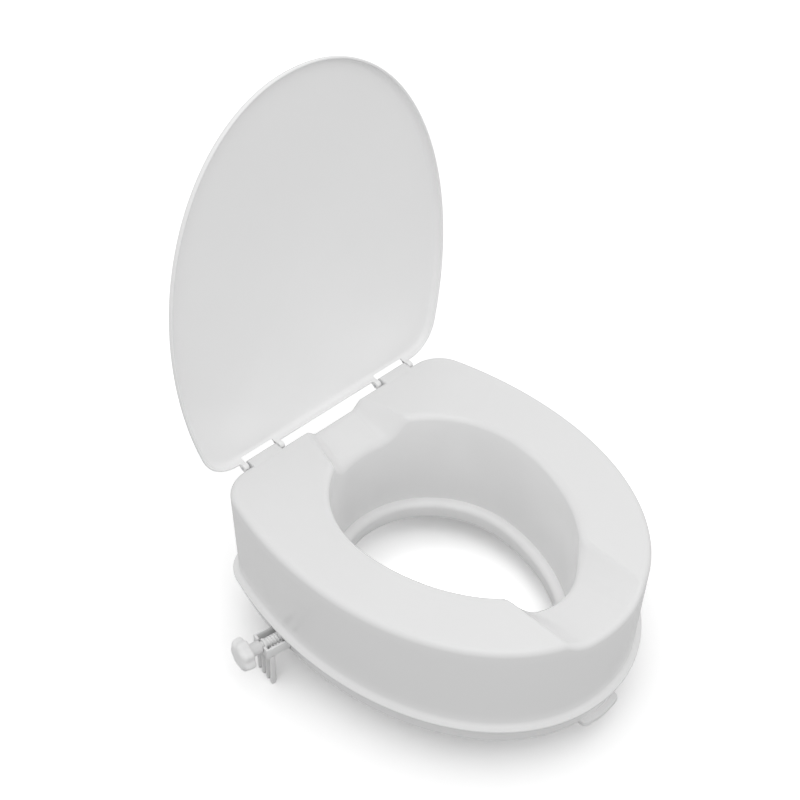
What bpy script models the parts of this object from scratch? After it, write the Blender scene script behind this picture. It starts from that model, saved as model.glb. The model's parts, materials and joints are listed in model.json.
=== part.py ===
"""Raised toilet seat with a lid: a hollow seat moulding on a base tray that clamps to the bowl.

Sizes are worked out from the plane where the four pads rest on the bowl's rim (z = 0), with y = 0
in the middle of the seat's flange.  A parent empty then moves everything so that the origin is the
middle of the underside of the whole thing.  +X is the right of someone facing the seat, -Y is its
front and +Z is up.  The lid is modelled closed and turned open about its hinge.  Both clamps are
modelled on the left; the right one is its mirror image, with the same right-handed thread.
"""
import math

import bmesh
import bpy
from mathutils import Matrix, Vector

for old in list(bpy.data.objects):
    bpy.data.objects.remove(old, do_unlink=True)

# ---- driving dimensions, in metres -------------------------------------------------------------
GAP = 0.0003            # clearance between pieces that touch
WALL = 0.003            # wall thickness of the seat moulding
PLATE = 0.0025          # wall thickness of the base tray

BASE_Z = 0.0025         # underside of the base tray, above the bowl's rim
FLANGE_Z = 0.0245       # lower edge of the seat moulding's flange
TOP_Z = 0.144           # seating surface
EDGE_R = 0.005          # rounding along the top edges
INNER_STEP = 0.001      # how much further in the inside's corners start than the outside's
FRAME_SHIFT = (0.0, -0.0169, 0.0360)    # from the bowl's rim plane to the origin

# plan outline of the outer wall: half an oval in front, bowed sides, rounded rear corners
OUT_HALF_W = 0.1819
OUT_WIDEST_Y = 0.0445
OUT_FRONT_LEN = 0.2504
OUT_POWER = 2.08
SIDE_BOW = 1.2
REAR_Y = 0.1945
CORNER_R = 0.040
FLANGE_OUT = 0.003
FLANGE_H = 0.005

# plan outline of the opening: two half ovals that meet at its widest place
BORE_HALF_W = 0.1122
BORE_WIDEST_Y = 0.030
BORE_FRONT_LEN = 0.167
BORE_FRONT_POWER = 1.87
BORE_REAR_LEN = 0.118

# hand recesses in the seating surface: half width at the top, and depth at the opening and rim
FRONT_HALF_W = 0.057
FRONT_FLOOR_HALF_W = 0.027
FRONT_DEPTH_BORE = 0.026
FRONT_DEPTH_RIM = 0.012
REAR_HALF_W_BORE = 0.054
REAR_HALF_W_RIM = 0.040
REAR_FLOOR_HALF_W = 0.026
REAR_DEPTH_BORE = 0.028
REAR_DEPTH_RIM = 0.009
FRONT_MARGIN = 0.005    # level strip kept beside a recess where the outlines' stations are even
REAR_MARGIN = 0.004

# base tray
SKIRT_IN = 0.004        # how far the tray's outer wall stands inside the seat's wall
SKIRT_TOP = 0.032
SPIGOT_IN = 0.010       # how far the spigot stands inside the opening
SPIGOT_Z = -0.0034
SHOULDER_Z = 0.0185
LEDGE_R = 0.008         # rounding from the spigot's bore up to the shoulder
LUG_HALF_W = 0.0265
LUG_OUT = 0.0034        # how far the front lug stands outside the seat's wall
LUG_SHAPE = 5.0         # how fast it falls back to its sides
LUG_CORNER_R = 0.006
LUG_ROOT = 0.006        # how far the lug reaches in under the tray's wall
LUG_FOOT_R = 0.0016
LUG_Z = (-0.0030, 0.0043)

# lid and its hinge
HINGE_Y = 0.1995
HINGE_Z = 0.1395
LID_OPEN_DEG = 94.2
LID_OVERHANG = 0.0030   # how far the lid stands outside the seat's wall
LID_FRONT = 0.4145      # from the hinge axis to the lid's front, and to its rear edge
LID_REAR = 0.0016
LID_RIM_Z = 0.0049      # the lid's rim, above the hinge axis
LID_EDGE_R = 0.009      # rounding from the rim into the top of the lid
LID_CROWN = 0.0075
LID_T = 0.0026
LID_EDGE_STEPS = 5
KNUCKLE_NOTCH = 0.0040  # how far the lid is cut back from its rear edge over each knuckle
ARM_X = (0.0711, 0.1203)
ARM_W = 0.0062
ARM_R = 0.0044
KNUCKLE_R = 0.0046
KNUCKLE_END_GAP = 0.0022
KNUCKLE_ROOT = 0.0015   # how far a knuckle reaches into the seat's rear wall
KNUCKLE_DROP = 0.012    # and how far it runs down that wall, below the axis
PIN_TIP = 0.0005
PIN_PROUD = 0.0008      # how far a pin stands out at each end
PIN_R = 0.0016
PIN_BORE_R = 0.0020

# side clamps, left one; mirrored for the right.  X and Y places are before the clamp is turned
CLAMP_TURN_DEG = 9.5    # how far a clamp's outer end is turned to the rear about its end plate
CLAMP_Y = 0.0871
CLAMP_W = 0.028
ARM_Z = 0.0086          # lower and upper edge of the bracket's arms
ARM_TOP = 0.0205
BRACKET_T = 0.0022
SHELF_Z = 0.0056        # the shelf that joins the leg to the end plate, under the screw
SHELF_T = 0.0020
CLAMP_X = -0.2024       # outer face of the bracket's end plate
END_T = 0.0025          # thickness of the end plate
ARM_END_X = -0.1529
LEG_Z = -0.0360
LEG_X = (-0.1992, -0.1930)
LEG_T = 0.0022
FIN_T = 0.0022
FINS = 4
STAGGER = 0.001         # steps between joined solids, so that no two of their faces lie in one plane
SCREW_Z = 0.0150
SCREW_R = 0.0060
SCREW_ROOT_R = 0.0045
SCREW_HOLE_R = 0.0063
PITCH = 0.0035
SCREW_END_X = -0.1369
NUT_X = (-0.1529, -0.1449)
NUT_SIZE = 0.016
NUT_TOP_CUT = 0.0015    # how much the nut is lower than it is wide
GUIDE_X = (-0.1739, -0.1369)
GUIDE_T = 0.002
POCKET_T = 0.0016
POCKET_WALL_X = 0.0022
NOTCH_X = (-0.190, -0.1665)
NOTCH_GAP = 0.0006
RING_R = (0.0049, 0.0068)
RING_T = 0.0022
THREAD_LEAD = 0.0026    # from the end plate to the thread, over the retaining ring
SCREW_TIP = 0.0015
HUB_R = 0.0066
KNOB_X = (-0.2318, -0.2194)
KNOB_R = 0.0172
KNOB_LOBES = 7
KNOB_LOBE_DEPTH = 0.16  # as a share of the knob's radius
KNOB_EDGE = (0.0045, 0.0018)      # length of the bevel at the outer face and at the hub
KNOB_FACE_SCALE = (0.66, 0.86)

# pads and base screws, as directions around the opening in degrees (0 is right, 90 is the rear)
PAD_ANGLES = (52.0, 128.0, -128.0, -52.0)
SCREW_ANGLES = (-108.0, -72.0, -24.0, 8.0, 68.0, 112.0, 172.0, 204.0)
PAD_NAMES = ("rear_right", "rear_left", "front_left", "front_right")
PAD_IN = 0.034          # from the seat's wall to a pad's middle
PAD_SIZE = (0.034, 0.012)
POST_R = 0.0045
POST_IN = 0.0135
POST_TOP = 0.058
POST_WEB_R = 0.7        # half width of the web between a post and the wall, as a share of POST_R
FIXING_R = 0.0015
FIXING_LEN = 0.018
FIXING_HEAD_R = 0.0035
FIXING_HEAD_T = (0.0009, 0.0017)
FIXING_POINT = 0.003
PILOT_EXTRA = 0.002

FRONT_STEPS = 18        # stations across the front recess, each side, and across the rear recess
SIDE_STEPS = 22
REAR_STEPS = 14
BEND_WEIGHT = 0.06      # extra length that one radian of bend counts for, so corners get more points
HEAD_SEGMENTS = 28
THREAD_SEGMENTS = 12


# ---- outlines ----------------------------------------------------------------------------------
def half_oval(half_w, length, power, x):
    """Distance from an oval's widest line to its edge, at the distance x from its axis."""
    share = min(abs(x) / half_w, 1.0)
    return length * (1.0 - share ** power) ** (1.0 / power)


def outer_side_path():
    """Right side of the outer wall, from the front recess round to the rear recess."""
    front_start = FRONT_HALF_W + FRONT_MARGIN
    top_angle = math.asin((front_start / OUT_HALF_W) ** (OUT_POWER / 2))
    path = []
    for k in range(121):
        angle = top_angle + (math.pi / 2 - top_angle) * k / 120
        x = OUT_HALF_W * math.sin(angle) ** (2 / OUT_POWER)
        path.append((x, OUT_WIDEST_Y - OUT_FRONT_LEN * math.cos(angle) ** (2 / OUT_POWER)))
    corner_y = REAR_Y - CORNER_R
    lean = 0.0
    for _ in range(20):
        join_y = corner_y + CORNER_R * math.sin(lean)
        lean = math.atan(2 * SIDE_BOW * (join_y - OUT_WIDEST_Y))
    join_x = OUT_HALF_W - SIDE_BOW * (join_y - OUT_WIDEST_Y) ** 2
    corner_x = join_x - CORNER_R * math.cos(lean)
    for k in range(1, 41):
        y = OUT_WIDEST_Y + (join_y - OUT_WIDEST_Y) * k / 40
        path.append((OUT_HALF_W - SIDE_BOW * (y - OUT_WIDEST_Y) ** 2, y))
    for k in range(1, 25):
        angle = lean + (math.pi / 2 - lean) * k / 24
        path.append((corner_x + CORNER_R * math.cos(angle), corner_y + CORNER_R * math.sin(angle)))
    path.append((REAR_HALF_W_RIM + REAR_MARGIN, REAR_Y))
    return path


def bore_side_path():
    """Right side of the opening, from the front recess round to the rear recess."""
    front_start = FRONT_HALF_W + FRONT_MARGIN
    low = math.asin((front_start / BORE_HALF_W) ** (BORE_FRONT_POWER / 2))
    path = []
    for k in range(121):
        angle = low + (math.pi / 2 - low) * k / 120
        x = BORE_HALF_W * math.sin(angle) ** (2 / BORE_FRONT_POWER)
        drop = math.cos(angle) ** (2 / BORE_FRONT_POWER)
        path.append((x, BORE_WIDEST_Y - BORE_FRONT_LEN * drop))
    high = math.acos((REAR_HALF_W_BORE + REAR_MARGIN) / BORE_HALF_W)
    for k in range(1, 81):
        angle = high * k / 80
        path.append((BORE_HALF_W * math.cos(angle), BORE_WIDEST_Y + BORE_REAR_LEN * math.sin(angle)))
    return path


def spaced(path, count):
    """The inner points of a path cut into steps that are shorter where it bends."""
    points = [Vector(p) for p in path]
    lengths = [0.0]
    for k in range(1, len(points)):
        step = points[k] - points[k - 1]
        bend = step.angle(points[k + 1] - points[k], 0.0) if k + 1 < len(points) else 0.0
        lengths.append(lengths[-1] + step.length + BEND_WEIGHT * bend)
    result, i = [], 0
    for k in range(1, count):
        target = lengths[-1] * k / count
        while lengths[i + 1] < target:
            i += 1
        share = (target - lengths[i]) / (lengths[i + 1] - lengths[i])
        result.append(points[i].lerp(points[i + 1], share))
    return result


def outline(side_path, front_y, rear_y, rear_half_w):
    """A closed outline, anticlockwise from the middle of the front, as a list of plan points."""
    front_half_w = FRONT_HALF_W + FRONT_MARGIN
    half_front = FRONT_STEPS // 2
    half_rear = REAR_STEPS // 2
    right = []
    for k in range(half_front + 1):
        x = front_half_w * k / half_front
        right.append(Vector((x, front_y(x))))
    right += spaced(side_path, SIDE_STEPS)
    for k in range(half_rear, -1, -1):
        x = rear_half_w * k / half_rear
        right.append(Vector((x, rear_y(x))))
    left = [Vector((-p.x, p.y)) for p in reversed(right[1:-1])]
    return right + left


OUTER = outline(outer_side_path(),
                lambda x: OUT_WIDEST_Y - half_oval(OUT_HALF_W, OUT_FRONT_LEN, OUT_POWER, x),
                lambda x: REAR_Y, REAR_HALF_W_RIM + REAR_MARGIN)
BORE = outline(bore_side_path(),
               lambda x: BORE_WIDEST_Y - half_oval(BORE_HALF_W, BORE_FRONT_LEN, BORE_FRONT_POWER, x),
               lambda x: BORE_WIDEST_Y + half_oval(BORE_HALF_W, BORE_REAR_LEN, 2.0, x),
               REAR_HALF_W_BORE + REAR_MARGIN)


def grown(points, distance):
    """A closed outline moved outwards by a distance."""
    count = len(points)
    moved = []
    for k, point in enumerate(points):
        along = (points[(k + 1) % count] - points[k - 1]).normalized()
        moved.append(point + Vector((along.y, -along.x)) * distance)
    return moved


def smooth_step(value):
    """0 below 0, 1 above 1, and an S-shaped slope between."""
    t = min(max(value, 0.0), 1.0)
    return t * t * (3.0 - 2.0 * t)


def recess_depth(x, y):
    """How far the seating surface lies below its flat level at a place in plan."""
    side = abs(x)
    if y < 0:
        rim = OUT_WIDEST_Y - half_oval(OUT_HALF_W, OUT_FRONT_LEN, OUT_POWER, side)
        bore = BORE_WIDEST_Y - half_oval(BORE_HALF_W, BORE_FRONT_LEN, BORE_FRONT_POWER, side)
        share = min(max((y - rim) / (bore - rim), 0.0), 1.0)
        depth = FRONT_DEPTH_RIM + (FRONT_DEPTH_BORE - FRONT_DEPTH_RIM) * share
        slope = smooth_step((FRONT_HALF_W - side) / (FRONT_HALF_W - FRONT_FLOOR_HALF_W))
        return depth * slope
    bore = BORE_WIDEST_Y + half_oval(BORE_HALF_W, BORE_REAR_LEN, 2.0, side)
    share = min(max((REAR_Y - y) / (REAR_Y - bore), 0.0), 1.0)
    depth = REAR_DEPTH_RIM + (REAR_DEPTH_BORE - REAR_DEPTH_RIM) * share ** 1.3
    half_w = REAR_HALF_W_RIM + (REAR_HALF_W_BORE - REAR_HALF_W_RIM) * share
    slope = smooth_step((half_w - side) / (half_w - REAR_FLOOR_HALF_W))
    return depth * slope


# ---- mesh helpers ------------------------------------------------------------------------------
def material(name, colour, roughness, metallic=0.0):
    """A Principled material."""
    made = bpy.data.materials.new(name)
    made.use_nodes = True
    shader = made.node_tree.nodes["Principled BSDF"]
    shader.inputs["Base Color"].default_value = (*colour, 1.0)
    shader.inputs["Roughness"].default_value = roughness
    shader.inputs["Metallic"].default_value = metallic
    return made


def new_object(name, bm, finish, smooth_deg=35.0):
    """An object from a bmesh, with its faces pointing out and its round stretches smooth."""
    bmesh.ops.recalc_face_normals(bm, faces=bm.faces)
    mesh = bpy.data.meshes.new(name)
    bm.to_mesh(mesh)
    bm.free()
    mesh.materials.append(finish)
    mesh.shade_smooth()
    mesh.set_sharp_from_angle(angle=math.radians(smooth_deg))
    obj = bpy.data.objects.new(name, mesh)
    bpy.context.scene.collection.objects.link(obj)
    return obj


def tool(name, bm):
    """A hidden shape that is added to, or cut from, another object."""
    obj = new_object(name, bm, MATERIALS["tool"])
    obj.display_type = 'WIRE'
    obj.hide_render = True
    return obj


def combine(target, shapes, operation):
    """Join hidden shapes to an object, or cut them from it."""
    for shape in shapes:
        modifier = target.modifiers.new(shape.name, 'BOOLEAN')
        modifier.operation = operation
        modifier.solver = 'EXACT'
        modifier.object = shape


def join_rows(bm, rows):
    """Bands of faces between neighbouring closed rows of vertices."""
    for a, b in zip(rows, rows[1:]):
        for k in range(len(a)):
            j = (k + 1) % len(a)
            bm.faces.new((a[k], a[j], b[j], b[k]))


def ring_mesh(rings):
    """A closed body from closed rings of points; the last ring joins the first again."""
    bm = bmesh.new()
    rows = [[bm.verts.new(p) for p in ring] for ring in rings]
    join_rows(bm, rows + rows[:1])
    return bm


def add_box(bm, low, high):
    """An axis-aligned block between two corners."""
    size = Vector(high) - Vector(low)
    centre = (Vector(high) + Vector(low)) / 2
    place = Matrix.Translation(centre) @ Matrix.Diagonal((*size, 1.0))
    bmesh.ops.create_cube(bm, size=1.0, matrix=place)
    return bm


def box(low, high):
    """A new mesh that holds one block."""
    return add_box(bmesh.new(), low, high)


def turned(profile, segments, place):
    """A solid turned about the local X axis from (x, radius) points; its ends are closed."""
    bm = bmesh.new()
    rows = []
    for x, radius in profile:
        row = []
        for k in range(segments):
            angle = 2 * math.pi * k / segments
            row.append(bm.verts.new(place @ Vector((x, radius * math.cos(angle), radius * math.sin(angle)))))
        rows.append(row)
    join_rows(bm, rows)
    bm.faces.new(rows[0])
    bm.faces.new(rows[-1])
    return bm


def along_x(x, y, z):
    """Places a turned shape's axis along +X at a point."""
    return Matrix.Translation((x, y, z))


def along_z(x, y, z):
    """Places a turned shape's axis along +Z at a point."""
    return Matrix.Translation((x, y, z)) @ Matrix.Rotation(-math.pi / 2, 4, 'Y')


def extruded(profile, x0, x1):
    """A solid with a (y, z) profile between two X places."""
    bm = bmesh.new()
    near = [bm.verts.new((x0, y, z)) for y, z in profile]
    far = [bm.verts.new((x1, y, z)) for y, z in profile]
    bm.faces.new(near)
    bm.faces.new(far)
    for k in range(len(profile)):
        j = (k + 1) % len(profile)
        bm.faces.new((near[k], near[j], far[j], far[k]))
    return bm


def arc(cy, cz, radius, start_deg, end_deg, steps):
    """Points on an arc in the (y, z) plane."""
    points = []
    for k in range(steps + 1):
        angle = math.radians(start_deg + (end_deg - start_deg) * k / steps)
        points.append((cy + radius * math.cos(angle), cz + radius * math.sin(angle)))
    return points


def middle_point(angle_deg, inset):
    """A plan point inside the outer wall in a direction from the opening's middle, and its turn."""
    centre = Vector((0.0, BORE_WIDEST_Y))
    ray = Vector((math.cos(math.radians(angle_deg)), math.sin(math.radians(angle_deg))))
    loop = grown(OUTER, -inset)
    for k, a in enumerate(loop):
        b = loop[(k + 1) % len(loop)]
        edge = b - a
        area = ray.x * edge.y - ray.y * edge.x
        if abs(area) < 1e-12:
            continue
        to_a = a - centre
        reach = (to_a.x * edge.y - to_a.y * edge.x) / area
        share = (to_a.x * ray.y - to_a.y * ray.x) / area
        if reach > 0 and 0 <= share < 1:
            return centre + ray * reach, math.atan2(edge.y, edge.x)
    raise ValueError("no outline in that direction")


# ---- seat moulding -----------------------------------------------------------------------------
def seat_ring(points, drop):
    """One ring of the seat over an outline: below the top by drop, following the recesses."""
    return [Vector((p.x, p.y, TOP_Z - drop - recess_depth(p.x, p.y))) for p in points]


def between(points, other, share):
    """An outline part of the way from one outline to another."""
    return [a.lerp(b, share) for a, b in zip(points, other)]


def flat_ring(points, z):
    """A level ring."""
    return [Vector((p.x, p.y, z)) for p in points]


def seat_rings():
    """Every ring round the section of the seat moulding, up its outer skin and down its inner one."""
    flange = grown(OUTER, FLANGE_OUT)
    rings = [flat_ring(flange, FLANGE_Z), flat_ring(flange, FLANGE_Z + FLANGE_H * 0.7)]
    rings.append(flat_ring(grown(OUTER, FLANGE_OUT * 0.4), FLANGE_Z + FLANGE_H))
    rings.append(flat_ring(OUTER, FLANGE_Z + FLANGE_H * 1.3))
    quarter = [(EDGE_R * (1 - math.cos(math.pi / 2 * k / 3)), EDGE_R * (1 - math.sin(math.pi / 2 * k / 3)))
               for k in range(4)]
    for inset, drop in quarter:
        rings.append(seat_ring(grown(OUTER, -inset), drop))
    inner_edge = grown(BORE, EDGE_R)
    outer_edge = grown(OUTER, -EDGE_R)
    for share in (0.2, 0.4, 0.6, 0.8):
        rings.append(seat_ring(between(outer_edge, inner_edge, share), 0.0))
    for inset, drop in reversed(quarter):
        rings.append(seat_ring(grown(BORE, inset), drop))
    rings.append(flat_ring(BORE, SHOULDER_Z + GAP))
    rings.append(flat_ring(grown(BORE, WALL), SHOULDER_Z + GAP))
    back_inner = grown(BORE, EDGE_R + INNER_STEP)
    back_outer = grown(OUTER, -EDGE_R - INNER_STEP)
    rings.append(seat_ring(grown(BORE, WALL), 2 * WALL))
    for share in (0.0, 0.33, 0.67, 1.0):
        rings.append(seat_ring(between(back_inner, back_outer, share), WALL))
    rings.append(seat_ring(grown(OUTER, -WALL), 2 * WALL))
    rings.append(flat_ring(grown(OUTER, -WALL), FLANGE_Z))
    return rings


def make_seat():
    """The seat moulding with its hinge knuckles and its screw posts."""
    seat = new_object("seat_shell", ring_mesh(seat_rings()), MATERIALS["gloss_white"], 30.0)
    added, cut = [], []
    for side in (-1, 1):
        x0 = side * (ARM_X[0] + ARM_W / 2 + KNUCKLE_END_GAP)
        x1 = side * (ARM_X[1] - ARM_W / 2 - KNUCKLE_END_GAP)
        profile = arc(HINGE_Y, HINGE_Z, KNUCKLE_R, -60, 90, 8)
        root_y = REAR_Y - KNUCKLE_ROOT
        profile += [(root_y, HINGE_Z + KNUCKLE_R - 2 * GAP), (root_y, HINGE_Z - KNUCKLE_DROP)]
        added.append(tool(f"knuckle_{side}", extruded(profile, x0, x1)))
        reach = abs(x1 - x0)
        bore = turned([(-reach, PIN_BORE_R), (reach, PIN_BORE_R)], 12,
                      along_x((x0 + x1) / 2, HINGE_Y, HINGE_Z))
        cut.append(tool(f"knuckle_bore_{side}", bore))
    for k, angle in enumerate(SCREW_ANGLES):
        spot, turn = middle_point(angle, POST_IN)
        post = turned([(BASE_Z + PLATE + GAP, POST_R), (POST_TOP, POST_R)], 12, along_z(spot.x, spot.y, 0.0))
        added.append(tool(f"post_{k}", post))
        web_r = POST_R * POST_WEB_R
        web = box((-web_r, -(POST_IN - WALL / 2), SKIRT_TOP + PLATE), (web_r, 0.0, POST_TOP - POST_R))
        bmesh.ops.transform(web, verts=web.verts,
                            matrix=Matrix.Translation((spot.x, spot.y, 0.0)) @ Matrix.Rotation(turn, 4, 'Z'))
        added.append(tool(f"post_web_{k}", web))
        pilot_top = BASE_Z + PLATE + FIXING_LEN + PILOT_EXTRA
        pilot = turned([(0.0, FIXING_R + GAP), (pilot_top, FIXING_R + GAP)], 10,
                       along_z(spot.x, spot.y, 0.0))
        cut.append(tool(f"pilot_{k}", pilot))
    combine(seat, added, 'UNION')
    combine(seat, cut, 'DIFFERENCE')
    return seat


# ---- base tray ---------------------------------------------------------------------------------
def base_rings():
    """Every ring round the section of the base tray."""
    spigot_in = grown(BORE, -SPIGOT_IN)
    spigot_out = grown(BORE, -SPIGOT_IN + PLATE)
    wall_out = grown(OUTER, -SKIRT_IN)
    wall_in = grown(OUTER, -SKIRT_IN - PLATE)
    rings = [flat_ring(spigot_in, SPIGOT_Z), flat_ring(spigot_in, SHOULDER_Z - LEDGE_R)]
    for k in (1, 2, 3):
        angle = math.pi / 2 * k / 3
        edge = grown(BORE, -SPIGOT_IN * math.cos(angle))
        rings.append(flat_ring(edge, SHOULDER_Z - LEDGE_R * (1 - math.sin(angle))))
    rings.append(flat_ring(grown(BORE, WALL), SHOULDER_Z))
    rings.append(flat_ring(grown(BORE, WALL), SHOULDER_Z - PLATE))
    rings.append(flat_ring(grown(BORE, (PLATE - SPIGOT_IN) / 4), SHOULDER_Z - PLATE * 1.3))
    rings.append(flat_ring(spigot_out, SHOULDER_Z - LEDGE_R))
    rings.append(flat_ring(spigot_out, BASE_Z + PLATE))
    rings.append(flat_ring(wall_in, BASE_Z + PLATE))
    rings.append(flat_ring(wall_in, SKIRT_TOP))
    rings.append(flat_ring(wall_out, SKIRT_TOP))
    rings.append(flat_ring(wall_out, BASE_Z))
    rings.append(flat_ring(spigot_out, BASE_Z))
    rings.append(flat_ring(spigot_out, SPIGOT_Z))
    return rings


def lug_outline(inset):
    """The front lug's plan outline, from its left root round its front to its right root."""
    front = OUT_WIDEST_Y - OUT_FRONT_LEN - LUG_OUT + inset
    side = LUG_HALF_W - inset
    corner_x = side - LUG_CORNER_R
    corner_y = front + LUG_SHAPE * corner_x ** 2 + LUG_CORNER_R
    right = [(corner_x * k / 5, front + LUG_SHAPE * (corner_x * k / 5) ** 2) for k in range(5)]
    right += [(corner_x + y, corner_y + z) for y, z in arc(0.0, 0.0, LUG_CORNER_R, -90, 0, 4)]
    right.append((side, front + LUG_OUT + SKIRT_IN + LUG_ROOT))
    return [(-x, y) for x, y in reversed(right[1:])] + right


def lug_mesh():
    """The lug that stands out from the foot of the tray at the front, rounded underneath."""
    bm = bmesh.new()
    rows = []
    for inset, z in ((LUG_FOOT_R, LUG_Z[0]), (0.0, LUG_Z[0] + LUG_FOOT_R), (0.0, LUG_Z[1])):
        rows.append([bm.verts.new((x, y, z)) for x, y in lug_outline(inset)])
    join_rows(bm, rows)
    bm.faces.new(rows[0])
    bm.faces.new(rows[-1])
    return bm


def clamp_guides(side):
    """Guide ribs and a nut pocket for one clamp."""
    rib_y = CLAMP_W / 2 + GAP
    pocket_y = NUT_SIZE / 2 + GAP
    pocket_x = (NUT_X[0] - POCKET_WALL_X, NUT_X[1] + POCKET_WALL_X)
    floor_z = BASE_Z + PLATE - STAGGER / 2
    rib_top = ARM_TOP - GUIDE_T
    meshes = []
    for start, thickness, (x0, x1) in ((rib_y, GUIDE_T, GUIDE_X), (pocket_y, POCKET_T, pocket_x)):
        for y_side in (-1, 1):
            y0, y1 = sorted((CLAMP_Y + y_side * start, CLAMP_Y + y_side * (start + thickness)))
            meshes.append(box((x0, y0, floor_z), (x1, y1, rib_top)))
    for x0, x1 in ((pocket_x[0], NUT_X[0] - GAP), (NUT_X[1] + GAP, pocket_x[1])):
        low = (x0, CLAMP_Y - pocket_y - STAGGER / 2, floor_z)
        high = (x1, CLAMP_Y + pocket_y + STAGGER / 2, SCREW_Z - SCREW_HOLE_R - 2 * GAP)
        meshes.append(box(low, high))
    return [turned_clamp(bm, side) for bm in meshes]


def clamp_notch(side):
    """The opening in the tray's outer wall that one bracket slides through."""
    half = CLAMP_W / 2 + NOTCH_GAP
    bm = box((NOTCH_X[0], CLAMP_Y - half, BASE_Z + PLATE + STAGGER / 20),
             (NOTCH_X[1], CLAMP_Y + half, SKIRT_TOP + PLATE))
    return turned_clamp(bm, side)


def make_base():
    """The base tray with its spigot, front lug, clamp guides and screw holes."""
    base = new_object("base_tray", ring_mesh(base_rings()), MATERIALS["satin_white"], 30.0)
    added = [tool("front_lug", lug_mesh())]
    cut = []
    for side in (-1, 1):
        cut.append(tool(f"clamp_notch_{side}", clamp_notch(side)))
        for k, bm in enumerate(clamp_guides(side)):
            added.append(tool(f"clamp_guide_{side}_{k}", bm))
    for k, angle in enumerate(SCREW_ANGLES):
        spot, _ = middle_point(angle, POST_IN)
        hole = turned([(0.0, FIXING_R + GAP), (BASE_Z + 2 * PLATE, FIXING_R + GAP)], 10,
                      along_z(spot.x, spot.y, 0.0))
        cut.append(tool(f"base_hole_{k}", hole))
    combine(base, cut, 'DIFFERENCE')
    combine(base, added, 'UNION')
    return base


def make_pads():
    """Four soft pads under the tray that rest on the bowl."""
    for k, angle in enumerate(PAD_ANGLES):
        spot, turn = middle_point(angle, PAD_IN)
        half_l, half_w = PAD_SIZE[0] / 2 - PAD_SIZE[1] / 2, PAD_SIZE[1] / 2
        loop = [(half_l + x, y) for x, y in arc(0.0, 0.0, half_w, -90, 90, 8)]
        loop += [(x - half_l, y) for x, y in arc(0.0, 0.0, half_w, 90, 270, 8)]
        bm = bmesh.new()
        rows = [[bm.verts.new((x, y, z)) for x, y in loop] for z in (0.0, BASE_Z - GAP)]
        join_rows(bm, rows)
        bm.faces.new(rows[0])
        bm.faces.new(rows[1])
        pad = new_object(f"bowl_pad_{PAD_NAMES[k]}", bm, MATERIALS["pad_rubber"])
        pad.location = (spot.x, spot.y, 0.0)
        pad.rotation_euler = (0.0, 0.0, turn)


def make_base_screws():
    """The screws that hold the tray to the seat moulding."""
    head_z = BASE_Z - GAP
    for k, angle in enumerate(SCREW_ANGLES):
        spot, _ = middle_point(angle, POST_IN)
        edge, crown = FIXING_HEAD_T
        profile = [(head_z - crown, FIXING_HEAD_R * 0.7), (head_z - edge, FIXING_HEAD_R),
                   (head_z, FIXING_HEAD_R), (head_z, FIXING_R),
                   (head_z + FIXING_LEN - FIXING_POINT, FIXING_R), (head_z + FIXING_LEN, FIXING_R * 0.3)]
        bm = turned(profile, 12, Matrix.Rotation(-math.pi / 2, 4, 'Y'))
        screw = new_object(f"base_screw_{k + 1}", bm, MATERIALS["steel"])
        screw.location = (spot.x, spot.y, 0.0)


# ---- lid and hinge -----------------------------------------------------------------------------
def lid_outline():
    """The outline of the closed lid's rim, with y measured from the hinge axis."""
    rim = grown(OUTER, LID_OVERHANG)
    front, rear = min(p.y for p in rim), max(p.y for p in rim)
    stretch = (LID_FRONT - LID_REAR) / (rear - front)
    return [Vector((p.x, -LID_REAR + (p.y - rear) * stretch)) for p in rim]


def lid_rings(inset, radius, z):
    """Rings of one skin of the lid from its rim inwards: a rounded edge and a crowned panel."""
    rim = lid_outline()
    rings = []
    for k in range(LID_EDGE_STEPS + 1):
        angle = math.pi / 2 * k / LID_EDGE_STEPS
        edge = grown(rim, -inset - radius * (1 - math.cos(angle)))
        rings.append(flat_ring(edge, z + radius * math.sin(angle)))
    middle = Vector((0.0, -(LID_FRONT + LID_REAR) / 2))
    for share in (0.93, 0.82, 0.66, 0.46, 0.24):
        height = z + radius + LID_CROWN * (1 - share ** 2) ** 1.5
        rings.append([Vector((*middle.lerp(p.xy, share), height)) for p in rings[LID_EDGE_STEPS]])
    top = Vector((*middle, z + radius + LID_CROWN))
    return rings, top


def lid_mesh():
    """The lid as a shallow dish with a rounded edge, closed, about the hinge axis."""
    bm = bmesh.new()
    skins = []
    for inset in (0.0, LID_T):
        rings, top = lid_rings(inset, LID_EDGE_R - inset, LID_RIM_Z)
        rows = [[bm.verts.new(p) for p in ring] for ring in rings]
        crown = bm.verts.new(top)
        join_rows(bm, rows)
        last = rows[-1]
        for k in range(len(last)):
            bm.faces.new((last[k], last[(k + 1) % len(last)], crown))
        skins.append(rows)
    join_rows(bm, [skins[0][0], skins[1][0]])
    return bm


def arm_profile():
    """Side view of one hinge arm about the hinge axis: a round eye and a neck into the lid's edge."""
    eye = arc(0.0, 0.0, ARM_R, -190, 20, 12)
    neck = [(-LID_REAR + 0.0004, LID_RIM_Z + 0.0030), (-LID_REAR - 0.0016, LID_RIM_Z + 0.0030),
            (-LID_REAR - 0.0022, LID_RIM_Z + 0.0002)]
    return eye + neck


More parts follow.
